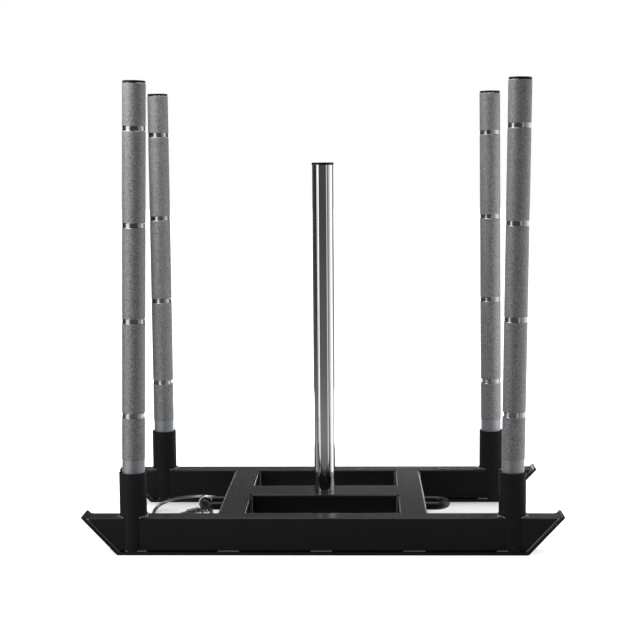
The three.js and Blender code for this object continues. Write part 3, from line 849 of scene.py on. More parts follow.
class StageOperator(bpy.types.Operator):
    """Sets up the camera, the floor, the backdrop's white and the lamps"""

    bl_idname = "push_sled.stage"
    bl_label = "Stage and camera"

    def execute(self, context):
        scene = context.scene
        stage = scene.push_sled_stage
        self.camera(scene, stage)
        self.floor(stage)
        self.tent(stage)
        self.world(scene)
        self.lamps()
        return {"FINISHED"}

    def camera(self, scene, stage):
        """Stands where the photograph was taken from."""
        yaw, pitch, roll = stage.camera_yaw, stage.camera_pitch, stage.camera_roll
        ahead = Vector(
            (math.sin(yaw) * math.cos(pitch), math.cos(yaw) * math.cos(pitch), -math.sin(pitch))
        )
        level = Vector((math.cos(yaw), -math.sin(yaw), 0))
        above = level.cross(ahead)
        right = math.cos(roll) * level + math.sin(roll) * above
        up = -math.sin(roll) * level + math.cos(roll) * above
        start_fresh()
        bpy.ops.object.camera_add(location=stage.camera_place)
        camera = bpy.context.object
        camera.name = "camera"
        turn = Matrix((right, up, -ahead)).transposed().to_4x4()
        camera.matrix_world = Matrix.Translation(stage.camera_place) @ turn
        camera.data.lens = stage.focal_length
        camera.data.sensor_width = 36
        camera.data.clip_end = 100
        scene.camera = camera
        scene.view_settings.view_transform = "Standard"

    def floor(self, stage):
        """White to the camera where it is lit, with a soft shadow left in it, and a painted shadow
        in the sled's footprint.
        """
        start_fresh()
        bpy.ops.mesh.primitive_plane_add(size=60, location=(0, 0, 0))
        floor = settle(bpy.context.object)
        floor.name = "floor"
        material, tree = new_material("studio_floor")
        path = add_node(tree, "LightPath")
        seen = add_node(
            tree,
            "Math",
            {0: path.outputs["Is Camera Ray"], 1: path.outputs["Is Transmission Ray"]},
            operation="MAXIMUM",
        )
        paper = add_node(tree, "BsdfDiffuse", {"Color": (*stage.floor_colour, 1)})
        place = add_node(tree, "TexCoord").outputs["Object"]
        away = add_node(tree, "VectorMath", {0: place}, operation="LENGTH").outputs["Value"]
        fade = add_node(
            tree,
            "MapRange",
            {"Value": away, "From Min": 0.6, "From Max": 2.0, "To Min": 0.62, "To Max": 1.0},
        )
        # Painted shadow in the sled's own footprint: less glow there, and a greyer floor, where its
        # shadow lies deepest. The place is taken as a share of half its length and half its width
        shares = (1 / 0.5, 1 / 0.24, 0)
        spots = add_node(tree, "VectorMath", {0: place, 1: shares}, operation="MULTIPLY")
        sizes = add_node(tree, "VectorMath", {0: spots}, operation="ABSOLUTE")
        parts = add_node(tree, "SeparateXYZ", {"Vector": sizes})
        inside = add_node(
            tree, "Math", {0: parts.outputs["X"], 1: parts.outputs["Y"]}, operation="MAXIMUM"
        )
        border = {"Value": inside, "From Min": 0.86, "From Max": 1.02}
        # Both ranges paint the shadow: less glow and a greyer floor inside the footprint
        footprint_painted_shadow = add_node(tree, "MapRange", {**border, "To Min": 0.18, "To Max": 1.0})
        painted_shadow_grey = add_node(tree, "MapRange", {**border, "To Min": 0.62, "To Max": 0.75})
        dim = add_node(tree, "BsdfDiffuse", {"Color": painted_shadow_grey})
        lit = add_node(tree, "Math", {0: fade, 1: footprint_painted_shadow}, operation="MULTIPLY")
        glow = add_node(tree, "Emission", {"Color": (1, 1, 1, 1), "Strength": lit})
        bright = add_node(tree, "AddShader", {0: dim, 1: glow})
        mixed = add_node(tree, "MixShader", {0: seen, 1: paper, 2: bright})
        finish_material(material, tree, mixed, stage.floor_colour)
        floor.data.materials.append(material)
        floor.visible_glossy = False

    def tent(self, stage):
        """Screen round the sled with lit and dark panels, for what the metal reflects."""
        start_fresh()
        bpy.ops.mesh.primitive_cylinder_add(
            vertices=180,
            radius=stage.tent_radius,
            depth=stage.tent_height,
            location=(0, 0, 0),
            end_fill_type="NOTHING",
        )
        tent = settle(bpy.context.object)
        tent.name = "light_tent"
        for seen in ("camera", "diffuse", "transmission", "volume_scatter", "shadow"):
            setattr(tent, "visible_" + seen, False)
        material, tree = new_material("tent_panels")
        place = add_node(tree, "TexCoord").outputs["Object"]
        x, y, height = add_node(tree, "SeparateXYZ", {"Vector": place}).outputs
        # Angle from the camera's side, from -180 degrees over the left to 180 over the right
        front = add_node(tree, "Math", {0: y, 1: -1.0}, operation="MULTIPLY")
        angle = add_node(tree, "Math", {0: x, 1: front}, operation="ARCTAN2")
        total = 0.0
        for around, up in TENT_PANELS:
            radians = [(math.radians(degrees), level) for degrees, level in around]
            side = self.curve(tree, angle, radians)
            rise = self.curve(tree, height, up)
            total = add_node(tree, "Math", {0: side, 1: rise, 2: total}, operation="MULTIPLY_ADD")
        glow = add_node(tree, "Emission", {"Color": (1, 1, 1, 1), "Strength": total})
        finish_material(material, tree, glow, (0.5, 0.5, 0.5))
        tent.data.materials.append(material)

    def curve(self, tree, value, stops):
        """A value read off a line through the stops, each a place and a level."""
        first, last = stops[0][0], stops[-1][0]
        share = add_node(tree, "MapRange", {"Value": value, "From Min": first, "From Max": last})
        ramp = add_node(tree, "ValToRGB", {"Fac": share})
        top = max(level for place, level in stops)
        elements = ramp.color_ramp.elements
        while len(elements) < len(stops):
            elements.new(0.5)
        for element, (place, level) in zip(elements, stops):
            element.position = (place - first) / (last - first)
            element.color = (level / top, level / top, level / top, 1)
        return add_node(tree, "Math", {0: ramp, 1: top}, operation="MULTIPLY")

    def world(self, scene):
        """White to the camera, and soft light that is dim on the camera's side of the studio and
        bright behind and above."""
        world = bpy.data.worlds.new("studio_light")
        world.use_nodes = True
        scene.world = world
        tree = world.node_tree
        tree.nodes.clear()
        path = add_node(tree, "LightPath")
        where = add_node(tree, "TexCoord").outputs["Generated"]
        parts = add_node(tree, "SeparateXYZ", {"Vector": where})
        # Along each axis, where the light starts and stops to rise, and from what to what
        rises = []
        for axis, start, stop, low, top in (
            ("Y", -0.75, 0.6, 0.06, 0.85),
            ("Z", 0.15, 0.9, 0.0, 0.7),
        ):
            rise = {
                "Value": parts.outputs[axis],
                "From Min": start,
                "From Max": stop,
                "To Min": low,
                "To Max": top,
            }
            rises.append(add_node(tree, "MapRange", rise, interpolation_type="SMOOTHSTEP"))
        level = add_node(tree, "Math", {0: rises[0], 1: rises[1]}, operation="MAXIMUM")
        glossy = path.outputs["Is Glossy Ray"]
        dull = add_node(tree, "MapRange", {"Value": glossy, "To Min": 1.0, "To Max": 0.05})
        soft = add_node(tree, "Math", {0: level, 1: dull}, operation="MULTIPLY")
        light = add_node(tree, "Background", {"Color": (1, 1, 1, 1), "Strength": soft})
        white = add_node(tree, "Background", {"Color": (1, 1, 1, 1), "Strength": 1.0})
        seen = path.outputs["Is Camera Ray"]
        mixed = add_node(tree, "MixShader", {0: seen, 1: light, 2: white})
        add_node(tree, "OutputWorld", {"Surface": mixed})

    def lamps(self):
        """Three soft panels, each pointed at its target."""
        for name, place, target, width, height, power in LAMPS:
            start_fresh()
            bpy.ops.object.light_add(type="AREA", location=place)
            lamp = bpy.context.object
            lamp.name = name
            lamp.data.shape = "RECTANGLE"
            lamp.data.size = width
            lamp.data.size_y = height
            lamp.data.energy = power
            lamp.visible_camera = False
            # Only the top panel shows in the gloss; the light tent stands in for the others
            lamp.visible_glossy = name == "top_panel_lamp"
            aim = Vector(target) - Vector(place)
            lamp.rotation_euler = aim.to_track_quat("-Z", "Y").to_euler()


class SlingOperator(bpy.types.Operator):
    """Lays the jacketed wire sling and crimps its ferrule"""

    bl_idname = "push_sled.sling"
    bl_label = "Wire sling"

    def execute(self, context):
        scene = context.scene
        sling = scene.push_sled_sling
        points = self.smooth_line([Vector(p) for p in SLING_ROUTE], 6)
        length = sum((b - a).length for a, b in zip(points, points[1:]))
        cable = round_line(points, sling.diameter / 2, 6)
        jacket = jacketed_wire(
            "jacketed_wire_rope", sling.jacket_colour, length, sling.strand_lay, sling.diameter
        )
        fit_out(cable, "wire_sling", jacket, "tow_shackle", ["tow_cable"])
        ferrule = self.ferrule(sling)
        fit_out(
            ferrule,
            "sling_ferrule",
            finishes(scene)["ferrule"],
            "tow_shackle",
            ["tow_cable_ferrule"],
        )
        return {"FINISHED"}

    def smooth_line(self, points, steps):
        """Centripetal curve through the points, as the solid's centre line is."""
        first = points[0] * 2 - points[1]
        last = points[-1] * 2 - points[-2]
        line = [first, *points, last]
        out = []
        for p0, p1, p2, p3 in zip(line, line[1:], line[2:], line[3:]):
            t0 = 0.0
            t1 = t0 + math.sqrt((p1 - p0).length)
            t2 = t1 + math.sqrt((p2 - p1).length)
            t3 = t2 + math.sqrt((p3 - p2).length)
            for i in range(steps):
                t = t1 + (t2 - t1) * i / steps
                a1 = p0 * ((t1 - t) / (t1 - t0)) + p1 * ((t - t0) / (t1 - t0))
                a2 = p1 * ((t2 - t) / (t2 - t1)) + p2 * ((t - t1) / (t2 - t1))
                a3 = p2 * ((t3 - t) / (t3 - t2)) + p3 * ((t - t2) / (t3 - t2))
                b1 = a1 * ((t2 - t) / (t2 - t0)) + a2 * ((t - t0) / (t2 - t0))
                b2 = a2 * ((t3 - t) / (t3 - t1)) + a3 * ((t - t1) / (t3 - t1))
                out.append(b1 * ((t2 - t) / (t2 - t1)) + b2 * ((t - t1) / (t2 - t1)))
        out.append(points[-1])
        return out

    def ferrule(self, sling):
        """Sleeve between the sling's two ends, crimped narrow between three full stretches."""
        start = Vector(SLING_ROUTE[-1])
        stop = Vector(SLING_ROUTE[0])
        axis = (stop - start).normalized()
        length = (stop - start).length - 2 * PLAY
        radius = sling.ferrule / 2
        stretches = 3
        pitch = length / stretches
        # Rounded ends, as shares of the radius and metres from the end
        ends = ((0.7, 0.0), (0.8, 0.0004), (0.93, 0.0016))
        # The middle of a full stretch and a crimp, as shares of the radius and of the pitch
        full = ((1, -0.28), (1, 0), (1, 0.28))
        crimp = ((0.86, -0.12), (0.83, 0), (0.86, 0.12))
        profile = [(radius * share, place) for share, place in ends]
        for i in range(stretches):
            profile += [(radius * share, (i + 0.5) * pitch + pitch * step) for share, step in full]
        for i in range(1, stretches):
            profile += [(radius * share, i * pitch + pitch * step) for share, step in crimp]
        profile += [(radius * share, length - place) for share, place in ends]
        profile.sort(key=lambda point: point[1])
        sleeve = smooth(turned(profile, 32), 40)
        turn = Vector((0, 0, 1)).rotation_difference(axis).to_matrix().to_4x4()
        sleeve.data.transform(Matrix.Translation(start + axis * PLAY) @ turn)
        return sleeve


class ShackleOperator(bpy.types.Operator):
    """Forges the bow shackle and its screw pin"""

    bl_idname = "push_sled.shackle"
    bl_label = "Shackle"

    def execute(self, context):
        scene = context.scene
        s = scene.push_sled_shackle
        place = shackle_matrix(scene)
        radius = (s.inside + s.rod) / 2
        ear_x = (s.mouth + s.rod) / 2
        pin_z = s.inside / 2 - s.depth - s.pin / 2
        bow = swept_bar(self.bow_line(s, radius, ear_x, pin_z), s.rod / 2)
        for side in (-1, 1):
            ear = add_bar(s.ear / 2, s.rod, (side * ear_x, 0, pin_z), ALONG_X)
            weld_on(bow, ease_edges(ear, 0.0012))
        # Forged all in one: the ears run into the bow with no sharp corner
        apply_modifier(bow, "REMESH", mode="VOXEL", voxel_size=0.00055)
        apply_modifier(bow, "SMOOTH", factor=0.5, iterations=4)
        cut_out(bow, add_bar(s.pin / 2 + PLAY, 4 * s.inside, (0, 0, pin_z), ALONG_X))
        bow.data.transform(place)
        smooth(bow, 50)
        pin = self.pin(s, ear_x, pin_z)
        pin.data.transform(place)
        for piece, name, body, node in (
            (bow, "shackle_bow", "tow_shackle", "tow_shackle_bow"),
            (pin, "shackle_screw_pin", "shackle_pin", "tow_shackle_pin"),
        ):
            fit_out(piece, name, finishes(scene)["shackle"], body, [node])
        return {"FINISHED"}

    def bow_line(self, s, radius, ear_x, pin_z):
        """From one ear straight up, in a slant to the arc that it touches, and back down."""
        knee = pin_z + s.knee
        reach = math.hypot(ear_x, knee)
        touch = math.atan2(knee, ear_x) + math.acos(radius / reach)
        touching = Vector((radius * math.cos(touch), 0, radius * math.sin(touch)))
        corner = Vector((ear_x, 0, knee))
        # The slant starts a little below the knee and past it, so that the bar bends softly
        right = [Vector((ear_x, 0, pin_z)), Vector((ear_x, 0, knee - 0.001))]
        right += [corner + (touching - corner) * share for share in (0.08, 0.5)]
        steps = 14
        for i in range(steps + 1):
            angle = touch + (math.pi / 2 - touch) * i / steps
            right.append(Vector((radius * math.cos(angle), 0, radius * math.sin(angle))))
        left = [Vector((-p.x, 0, p.z)) for p in reversed(right[:-1])]
        return right + left

    def pin(self, s, ear_x, pin_z):
        """Screw pin with a collar, a flat eye to turn it by, and its end just past the far ear."""
        outside = ear_x + s.rod / 2
        collar_x = outside + PLAY
        collar_thickness = 0.002
        length = collar_x + outside + 0.0015
        pin = add_bar(s.pin / 2, length, (collar_x - length / 2, 0, pin_z), ALONG_X)
        ease_edges(pin, 0.0008)
        collar_place = (collar_x + collar_thickness / 2, 0, pin_z)
        collar = add_bar(s.collar / 2, collar_thickness, collar_place, ALONG_X)
        weld_on(pin, ease_edges(collar, 0.0004))
        eye_place = (collar_x + collar_thickness / 2 + s.pin_eye / 2, 0, pin_z)
        eye_thickness, eye_hole = 0.005, 0.0025
        eye = add_bar(s.pin_eye / 2, eye_thickness, eye_place, ALONG_Y)
        weld_on(pin, ease_edges(eye, 0.001))
        cut_out(pin, add_bar(eye_hole, 0.02, eye_place, ALONG_Y))
        return smooth(pin, 40)


class SolePlateOperator(bpy.types.Operator):
    """Bends the two sole plates from flat bar"""

    bl_idname = "push_sled.sole_plates"
    bl_label = "Sole plates"

    def execute(self, context):
        scene = context.scene
        r = scene.push_sled_runner
        thick = r.sole_thickness
        slope, mitre = tip_bend(r)
        bend = r.length / 2 - r.tip_run
        top = r.tip_rise + thick
        plate = add_box((2 * bend, r.sole_width, thick), (0, 0, thick / 2))
        edit(plate)
        for end in (-1, 1):
            # The end's upper edge goes back to the mitre, and the end is drawn out up the slope
            pick_corners(
                plate, lambda v: abs(v.co.x - end * bend) < TOLERANCE and v.co.z > thick / 2
            )
            bpy.ops.transform.translate(value=(-end * mitre, 0, 0))
            pick_faces(
                plate,
                lambda face: face.normal.x * end > 0.5
                and face.calc_center_median().x * end > bend / 2,
            )
            rise = (end * r.tip_run, 0, r.tip_rise)
            bpy.ops.mesh.extrude_region_move(TRANSFORM_OT_translate={"value": rise})
            # Its tip is cut square to the slope
            pick_corners(plate, lambda v: v.co.x * end > 0 and v.co.z > top - TOLERANCE)
            bpy.ops.transform.translate(
                value=(-end * mitre * math.cos(slope), 0, -mitre * math.sin(slope))
            )
        # The press leaves a small radius in each bend
        pick_edges(
            plate,
            lambda edge: runs_along(edge, 1)
            and any(abs(abs(edge.verts[0].co.x) - x) < TOLERANCE for x in (bend, bend - mitre)),
        )
        bpy.ops.mesh.bevel(offset=0.003, segments=4, affect="EDGES")
        # Corners of the two ends, across the plate's thickness
        pick_edges(
            plate,
            lambda edge: all(v.co.z > r.tip_rise - TOLERANCE for v in edge.verts)
            and not runs_along(edge, 1)
            and (edge.verts[0].co - edge.verts[1].co).length < thick * 1.1,
        )
        bpy.ops.mesh.bevel(offset=r.sole_corner, segments=5, affect="EDGES")
        leave_edit()
        ease_edges(plate, r.sole_edge, 4, 40)
        finish = finishes(scene)["frame"]
        for side, word in SIDES:
            twin = smooth(copy_piece(plate, Matrix.Translation((0, side * r.spacing / 2, 0))))
            node = f"{word}_sole_plate"
            fit_out(twin, f"{word}_sole", finish, "sled_frame", [node])
        bpy.data.objects.remove(plate)
        return {"FINISHED"}


class RunnerTubeOperator(bpy.types.Operator):
    """Cuts the two runner tubes to their soles and copes them round the sockets"""

    bl_idname = "push_sled.runner_tubes"
    bl_label = "Runner tubes"

    def execute(self, context):
        scene = context.scene
        r = scene.push_sled_runner
        k = scene.push_sled_socket
        middle = r.sole_thickness + r.gap + r.height / 2
        slope, mitre = tip_bend(r)
        inner_bend = r.length / 2 - r.tip_run - mitre
        tube = box_tube((r.length, r.width, r.height), (0, 0, middle), 0, r.corner)
        edit(tube)
        for end in (-1, 1):
            outward = Vector((end * math.sin(slope), 0, -math.cos(slope)))
            bpy.ops.mesh.select_all(action="SELECT")
            bpy.ops.mesh.bisect(
                plane_co=Vector((end * inner_bend, 0, r.sole_thickness)) - outward * r.gap,
                plane_no=outward,
                clear_outer=True,
            )
        leave_edit()
        give_wall(tube, r.wall)
        for end in (-1, 1):
            place = (end * k.spacing / 2, 0, middle)
            cut_out(tube, add_bar(k.outer / 2 + r.gap, r.height + 0.02, place, sides=96))
        finish = finishes(scene)["frame"]
        for side, word in SIDES:
            twin = smooth(copy_piece(tube, Matrix.Translation((0, side * r.spacing / 2, 0))))
            nodes = [f"{word}_runner_rail", f"{word}_front_nose", f"{word}_rear_nose"]
            fit_out(twin, f"{word}_runner_tube", finish, "sled_frame", nodes)
        bpy.data.objects.remove(tube)
        return {"FINISHED"}


class SocketOperator(bpy.types.Operator):
    """Makes the four pole sockets from round pipe"""

    bl_idname = "push_sled.sockets"
    bl_label = "Pole sockets"

    def execute(self, context):
        scene = context.scene
        r = scene.push_sled_runner
        k = scene.push_sled_socket
        outer = k.outer / 2
        inner = outer - k.wall
        rim = rounded(outer, k.height, 0.0009)
        inside = [(inner + outer - radius, height) for radius, height in reversed(rim)]
        profile = [(inner, 0), (outer, 0), *rim, *inside[1:], (inner, 0)]
        pipe = smooth(turned(profile, 96, solid=False))
        finish = finishes(scene)["socket"]
        bottom = r.sole_thickness + r.gap
        for end, end_word in ENDS:
            for side, word in SIDES:
                place = (end * k.spacing / 2, side * r.spacing / 2, bottom)
                twin = copy_piece(pipe, Matrix.Translation(place))
                name = f"{end_word}_{word}_socket"
                fit_out(twin, name + "_pipe", finish, "sled_frame", [name])
        bpy.data.objects.remove(pipe)
        return {"FINISHED"}


class DeckOperator(bpy.types.Operator):
    """Makes the two cross bars and the centre bar of the deck"""

    bl_idname = "push_sled.deck"
    bl_label = "Deck bars"

    def execute(self, context):
        scene = context.scene
        r = scene.push_sled_runner
        d = scene.push_sled_deck
        top = deck_top(scene)
        finish = finishes(scene)["deck"]
        length = r.spacing - r.width - 2 * r.gap
        for end, word in ENDS:
            centre = (end * d.cross_spacing / 2, 0, top - d.cross_size / 2)
            bar = box_tube((d.cross_size, length, d.cross_size), centre, 1, d.corner)
            smooth(give_wall(bar, d.wall))
            node = f"{word}_cross_bar"
            fit_out(bar, f"{word}_deck_bar", finish, "sled_frame", [node])
        length = d.cross_spacing - d.cross_size - 2 * r.gap
        centre = (0, 0, top - d.centre_height / 2)
        bar = box_tube((length, d.centre_width, d.centre_height), centre, 0, d.corner)
        give_wall(bar, d.wall)
        cut_out(bar, add_bar(BOLT_HOLE, d.centre_height + 0.02, centre))
        smooth(bar)
        fit_out(bar, "deck_centre_bar", finish, "sled_frame", ["centre_bar"])
        return {"FINISHED"}


class TowEyeOperator(bpy.types.Operator):
    """Bends a tow eye from round bar for each cross bar"""

    bl_idname = "push_sled.tow_eyes"
    bl_label = "Tow eyes"

    def execute(self, context):
        scene = context.scene
        r = scene.push_sled_runner
        d = scene.push_sled_deck
        bend = (d.tow_width - d.tow_rod) / 2
        leg = d.tow_reach - d.tow_width / 2
        start_x = tow_face(scene) + r.gap
        height = tow_height(scene)
        start_fresh()
        bpy.ops.mesh.primitive_circle_add(
            vertices=32, radius=d.tow_rod / 2, location=(start_x, -bend, height), rotation=ALONG_X
        )
        eye = settle(bpy.context.object)
        edit(eye)
        bpy.ops.mesh.select_all(action="SELECT")
        bpy.ops.mesh.extrude_edges_move(TRANSFORM_OT_translate={"value": (leg, 0, 0)})
        centre = (start_x + leg, 0, height)
        bpy.ops.mesh.spin(steps=36, angle=-math.pi, center=centre, axis=(0, 0, 1))
        bpy.ops.mesh.extrude_edges_move(TRANSFORM_OT_translate={"value": (-leg, 0, 0)})
        bpy.ops.mesh.select_all(action="SELECT")
        bpy.ops.mesh.fill_holes(sides=0)
        leave_edit()
        outward_normals(eye)
        smooth(eye, 50)
        front = copy_piece(eye, Matrix.Rotation(math.pi, 4, "Z"))
        finish = finishes(scene)["tow"]
        for piece, word in ((eye, "rear"), (front, "front")):
            node = f"{word}_tow_eye"
            fit_out(piece, f"{word}_tow_loop", finish, "sled_frame", [node])
        return {"FINISHED"}


def plug_cap(width, height, bore, ease):
    """Moulded cap: a low flange with an eased rim and a dished top, and a skirt in the tube."""
    radius = width / 2
    skirt = bore / 2 - PLAY
    rim = radius - ease
    dish = height - 0.0005
    # From the skirt's lower end up it, out under the flange, round the rim and in to the dish
    profile = [
        (skirt - 0.0012, -0.018),
        (skirt, -0.0165),
        (skirt, -0.0002),
        (radius - 0.0002, 0),
        (radius, 0.0003),
        *rounded(radius, height, ease, steps=5),
        (rim - 0.004, height),
        (rim - 0.006, dish),
        (0.002, dish),
    ]
    return smooth(turned(profile, 64), 35)


class PostOperator(bpy.types.Operator):
    """Makes the chromed plate post, its cap and the bolt and washers that hold it down"""

    bl_idname = "push_sled.post"
    bl_label = "Plate post"

    def execute(self, context):
        scene = context.scene
        r = scene.push_sled_runner
        d = scene.push_sled_deck
        p = scene.push_sled_post
        finish = finishes(scene)
        foot = deck_top(scene) + r.gap
        outer = p.outer / 2
        inner = outer - p.wall
        ease = 0.0008
        base = [(inner, 0), (outer - ease, 0), (outer - 0.0002, 0.0002), (outer, ease)]
        top = [*rounded(outer, p.length, ease), (inner, p.length), (inner, 0)]
        tube = smooth(turned(base + top, 128, solid=False))
        tube.data.transform(Matrix.Translation((0, 0, foot)))
        fit_out(tube, "plate_post", finish["chrome"], "sled_frame", ["post_tube"])
        cap = plug_cap(p.cap_width, p.cap_height, 2 * inner, 0.0012)
        cap.data.transform(Matrix.Translation((0, 0, foot + p.length + r.gap)))
        fit_out(cap, "plate_post_cap", finish["plastic"], "sled_frame", ["post_cap"])
        # Under the centre bar, from the top down: each washer's node, kind, radius, thickness
        # and eased edge
        zinc = finish["zinc"]
        low = deck_top(scene) - d.centre_height
        for node, kind, radius, thickness, edge in (
            ("post_washer", "flat", 0.015, 0.003, 0.0004),
            ("post_lock_washer", "split", 0.0137, 0.004, 0.0003),
        ):
            low = low - r.gap - thickness
            washer = self.ring(BOLT_HOLE, radius, thickness, edge)
            washer.data.transform(Matrix.Translation((0, 0, low)))
            if kind == "split":
                cut_out(washer, add_box((0.02, 0.0025, 0.02), (0.015, 0, low + thickness / 2)))
            fit_out(washer, f"post_{kind}_washer", zinc, "sled_frame", [node])
        bolt = self.bolt(p, low - r.gap)
        fit_out(bolt, "post_hex_bolt", zinc, "sled_frame", ["post_bolt"])
        for name in ("post_base_plug", "post_spacer"):
            dress_node(name, zinc)
        return {"FINISHED"}

    def ring(self, inner, outer, thickness, ease):
        """Washer with all four of its edges eased."""
        profile = [
            (inner, ease),
            (inner + ease, 0),
            (outer - ease, 0),
            (outer, ease),
            (outer, thickness - ease),
            (outer - ease, thickness),
            (inner + ease, thickness),
            (inner, thickness - ease),
            (inner, ease),
        ]
        return smooth(turned(profile, 48, solid=False))

    def bolt(self, p, top):
        """Hexagon bolt, with its head up against the washers at the height given."""
        head, shank = 0.01, 0.076
        # How far the shank's bar starts inside the head
        sunk = 0.002
        bolt = add_bar(p.bolt_flats / math.sqrt(3), head, (0, 0, top - head / 2), sides=6)
        # The head's corners are turned off under a cone
        wide = p.bolt_flats * 0.62
        cone = turned([(p.bolt_flats / 2 * 0.97, -head), (wide, -head + 0.0028), (wide, 0.001)], 64)
        cone.data.transform(Matrix.Translation((0, 0, top)))
        apply_modifier(bolt, "BOOLEAN", operation="INTERSECT", object=cone, solver="EXACT")
        bpy.data.objects.remove(cone)
        body = add_bar(p.bolt / 2, shank + 2 * sunk, (0, 0, top + shank / 2 - sunk))
        weld_on(bolt, ease_edges(body, 0.0008))
        return smooth(bolt)


class PoleOperator(bpy.types.Operator):
    """Turns the four push poles, knurls their grips and caps them"""

    bl_idname = "push_sled.poles"
    bl_label = "Push poles"

    def execute(self, context):
        scene = context.scene
        r = scene.push_sled_runner
        k = scene.push_sled_socket
        p = scene.push_sled_pole
        finish = finishes(scene)
        pole = self.pole(p)
        cap = plug_cap(p.cap_width, p.cap_height, p.outer - 2 * p.wall, 0.0011)
        half = k.height / 2
        for name, end, side, lean in POLES:
            # A pole leans about the middle of its socket, and stands on the edge of its foot
            lift = p.outer / 2 * math.sin(abs(lean)) + half * math.cos(lean)
            centre = (end * k.spacing / 2, side * r.spacing / 2, r.sole_thickness + r.gap + lift)
            place = Matrix.Translation(centre) @ Matrix.Rotation(lean, 4, "Y")
            tube = copy_piece(pole, place @ Matrix.Translation((0, 0, -half)))
            for part in ("plain", "grip", "band"):
                tube.data.materials.append(finish[part])
            fit_out(tube, name + "_tube", None, name, [name])
            top = copy_piece(cap, place @ Matrix.Translation((0, 0, p.length + r.gap - half)))
            plastic = finish["plastic"]
            fit_out(top, name + "_end_cap", plastic, name, [name + "_cap"])
        for spare in (pole, cap):
            bpy.data.objects.remove(spare)
        return {"FINISHED"}

    def pole(self, p):
        """Turned tube from its foot up: plain, then the grip with its smooth bands."""
        plain = p.outer / 2
        grip = p.grip / 2
        band = grip - p.band_depth
        inner = plain - p.wall
        edge = 0.001
        bands = 4
        profile = [(inner, 0.0), (plain - edge, 0.0), (plain, edge), (plain, p.grip_start)]
        profile += [(grip - 0.0002, p.grip_start + 0.0007), (grip, p.grip_start + 0.0012)]
        for i in range(bands):
            low = p.first_band + i * p.band_pitch - p.band_height / 2
            high = low + p.band_height
            profile += [
                (grip, low - 0.0006),
                (grip - 0.0003, low),
                (band + 0.0002, low + edge * 0.8),
                (band, low + edge * 1.3),
                (band, high - edge * 1.3),
                (band + 0.0002, high - edge * 0.8),
                (grip - 0.0003, high),
                (grip, high + 0.0006),
            ]
        shoulder = p.length - p.chamfer
        profile += [(grip, shoulder), (grip - p.chamfer, p.length), (inner, p.length), (inner, 0.0)]
        pole = turned(profile, 96, solid=False)
        self.finish_faces(pole.data, p, grip, band, inner)
        return smooth(pole, 25)

    def finish_faces(self, mesh, p, grip, band, inner):
        """Gives each face plain, knurled or polished steel, and a map in metres round and up."""
        shoulder = p.length - p.chamfer
        around = mesh.uv_layers.new(name="round_and_up")
        # The knurl goes round a whole number of times
        scale = round(TAU * grip / p.knurl_pitch) * p.knurl_pitch / TAU
        for face in mesh.polygons:
            # A face's centre lies slightly inside the ring that its corners are on
            x, y, z = face.center
            middle = math.atan2(y, x)
            radius = math.hypot(x, y)
            knurled = radius > grip - 0.00035 and z < shoulder
            groove = abs(radius - band) < 0.0009 and z > p.grip_start
            bright = z > shoulder and radius > inner + 0.0005
            face.material_index = 1 if knurled else 2 if (groove or bright) else 0
            for loop in face.loop_indices:
                spot = mesh.vertices[mesh.loops[loop].vertex_index].co
                angle = math.atan2(spot.y, spot.x)
                angle = middle + (angle - middle + math.pi) % TAU - math.pi
                around.data[loop].uv = (angle * scale, spot.z)


def lay_bead(stations, pitch, width, height, lean_back=22):
    """Weld bead: one ripple for each station, which is a place, the way along and the way out.
    Each is leant back on the one before it by some degrees."""
    start_fresh()
    bpy.ops.mesh.primitive_uv_sphere_add(segments=8, ring_count=5, radius=0.5)
    ripple = settle(bpy.context.object)
    ripples = []
    for place, along, out in stations:
        along = along.normalized()
        across = out.cross(along).normalized()
        out = along.cross(across)
        lean = Matrix.Rotation(math.radians(lean_back), 3, across)
        # Each ripple is 2.1 pitches long, so that it laps over the next
        axes = (lean @ along * pitch * 2.1, across * width, lean @ out * height * 2)
        basis = Matrix(axes).transposed().to_4x4()
        ripples.append(copy_piece(ripple, Matrix.Translation(place) @ basis))
    bpy.data.objects.remove(ripple)
    return ripples


def walk(points, outs, pitch):
    """Stations a pitch apart along a line of points, each with its own outward direction."""
    stations = []
    carry = 0.0
    for a, b, out_a, out_b in zip(points, points[1:], outs, outs[1:]):
        run = b - a
        length = run.length
        spot = carry
        while spot < length:
            share = spot / length
            stations.append((a + run * share, run, out_a.lerp(out_b, share).normalized()))
            spot += pitch
        carry = spot - length
    return stations


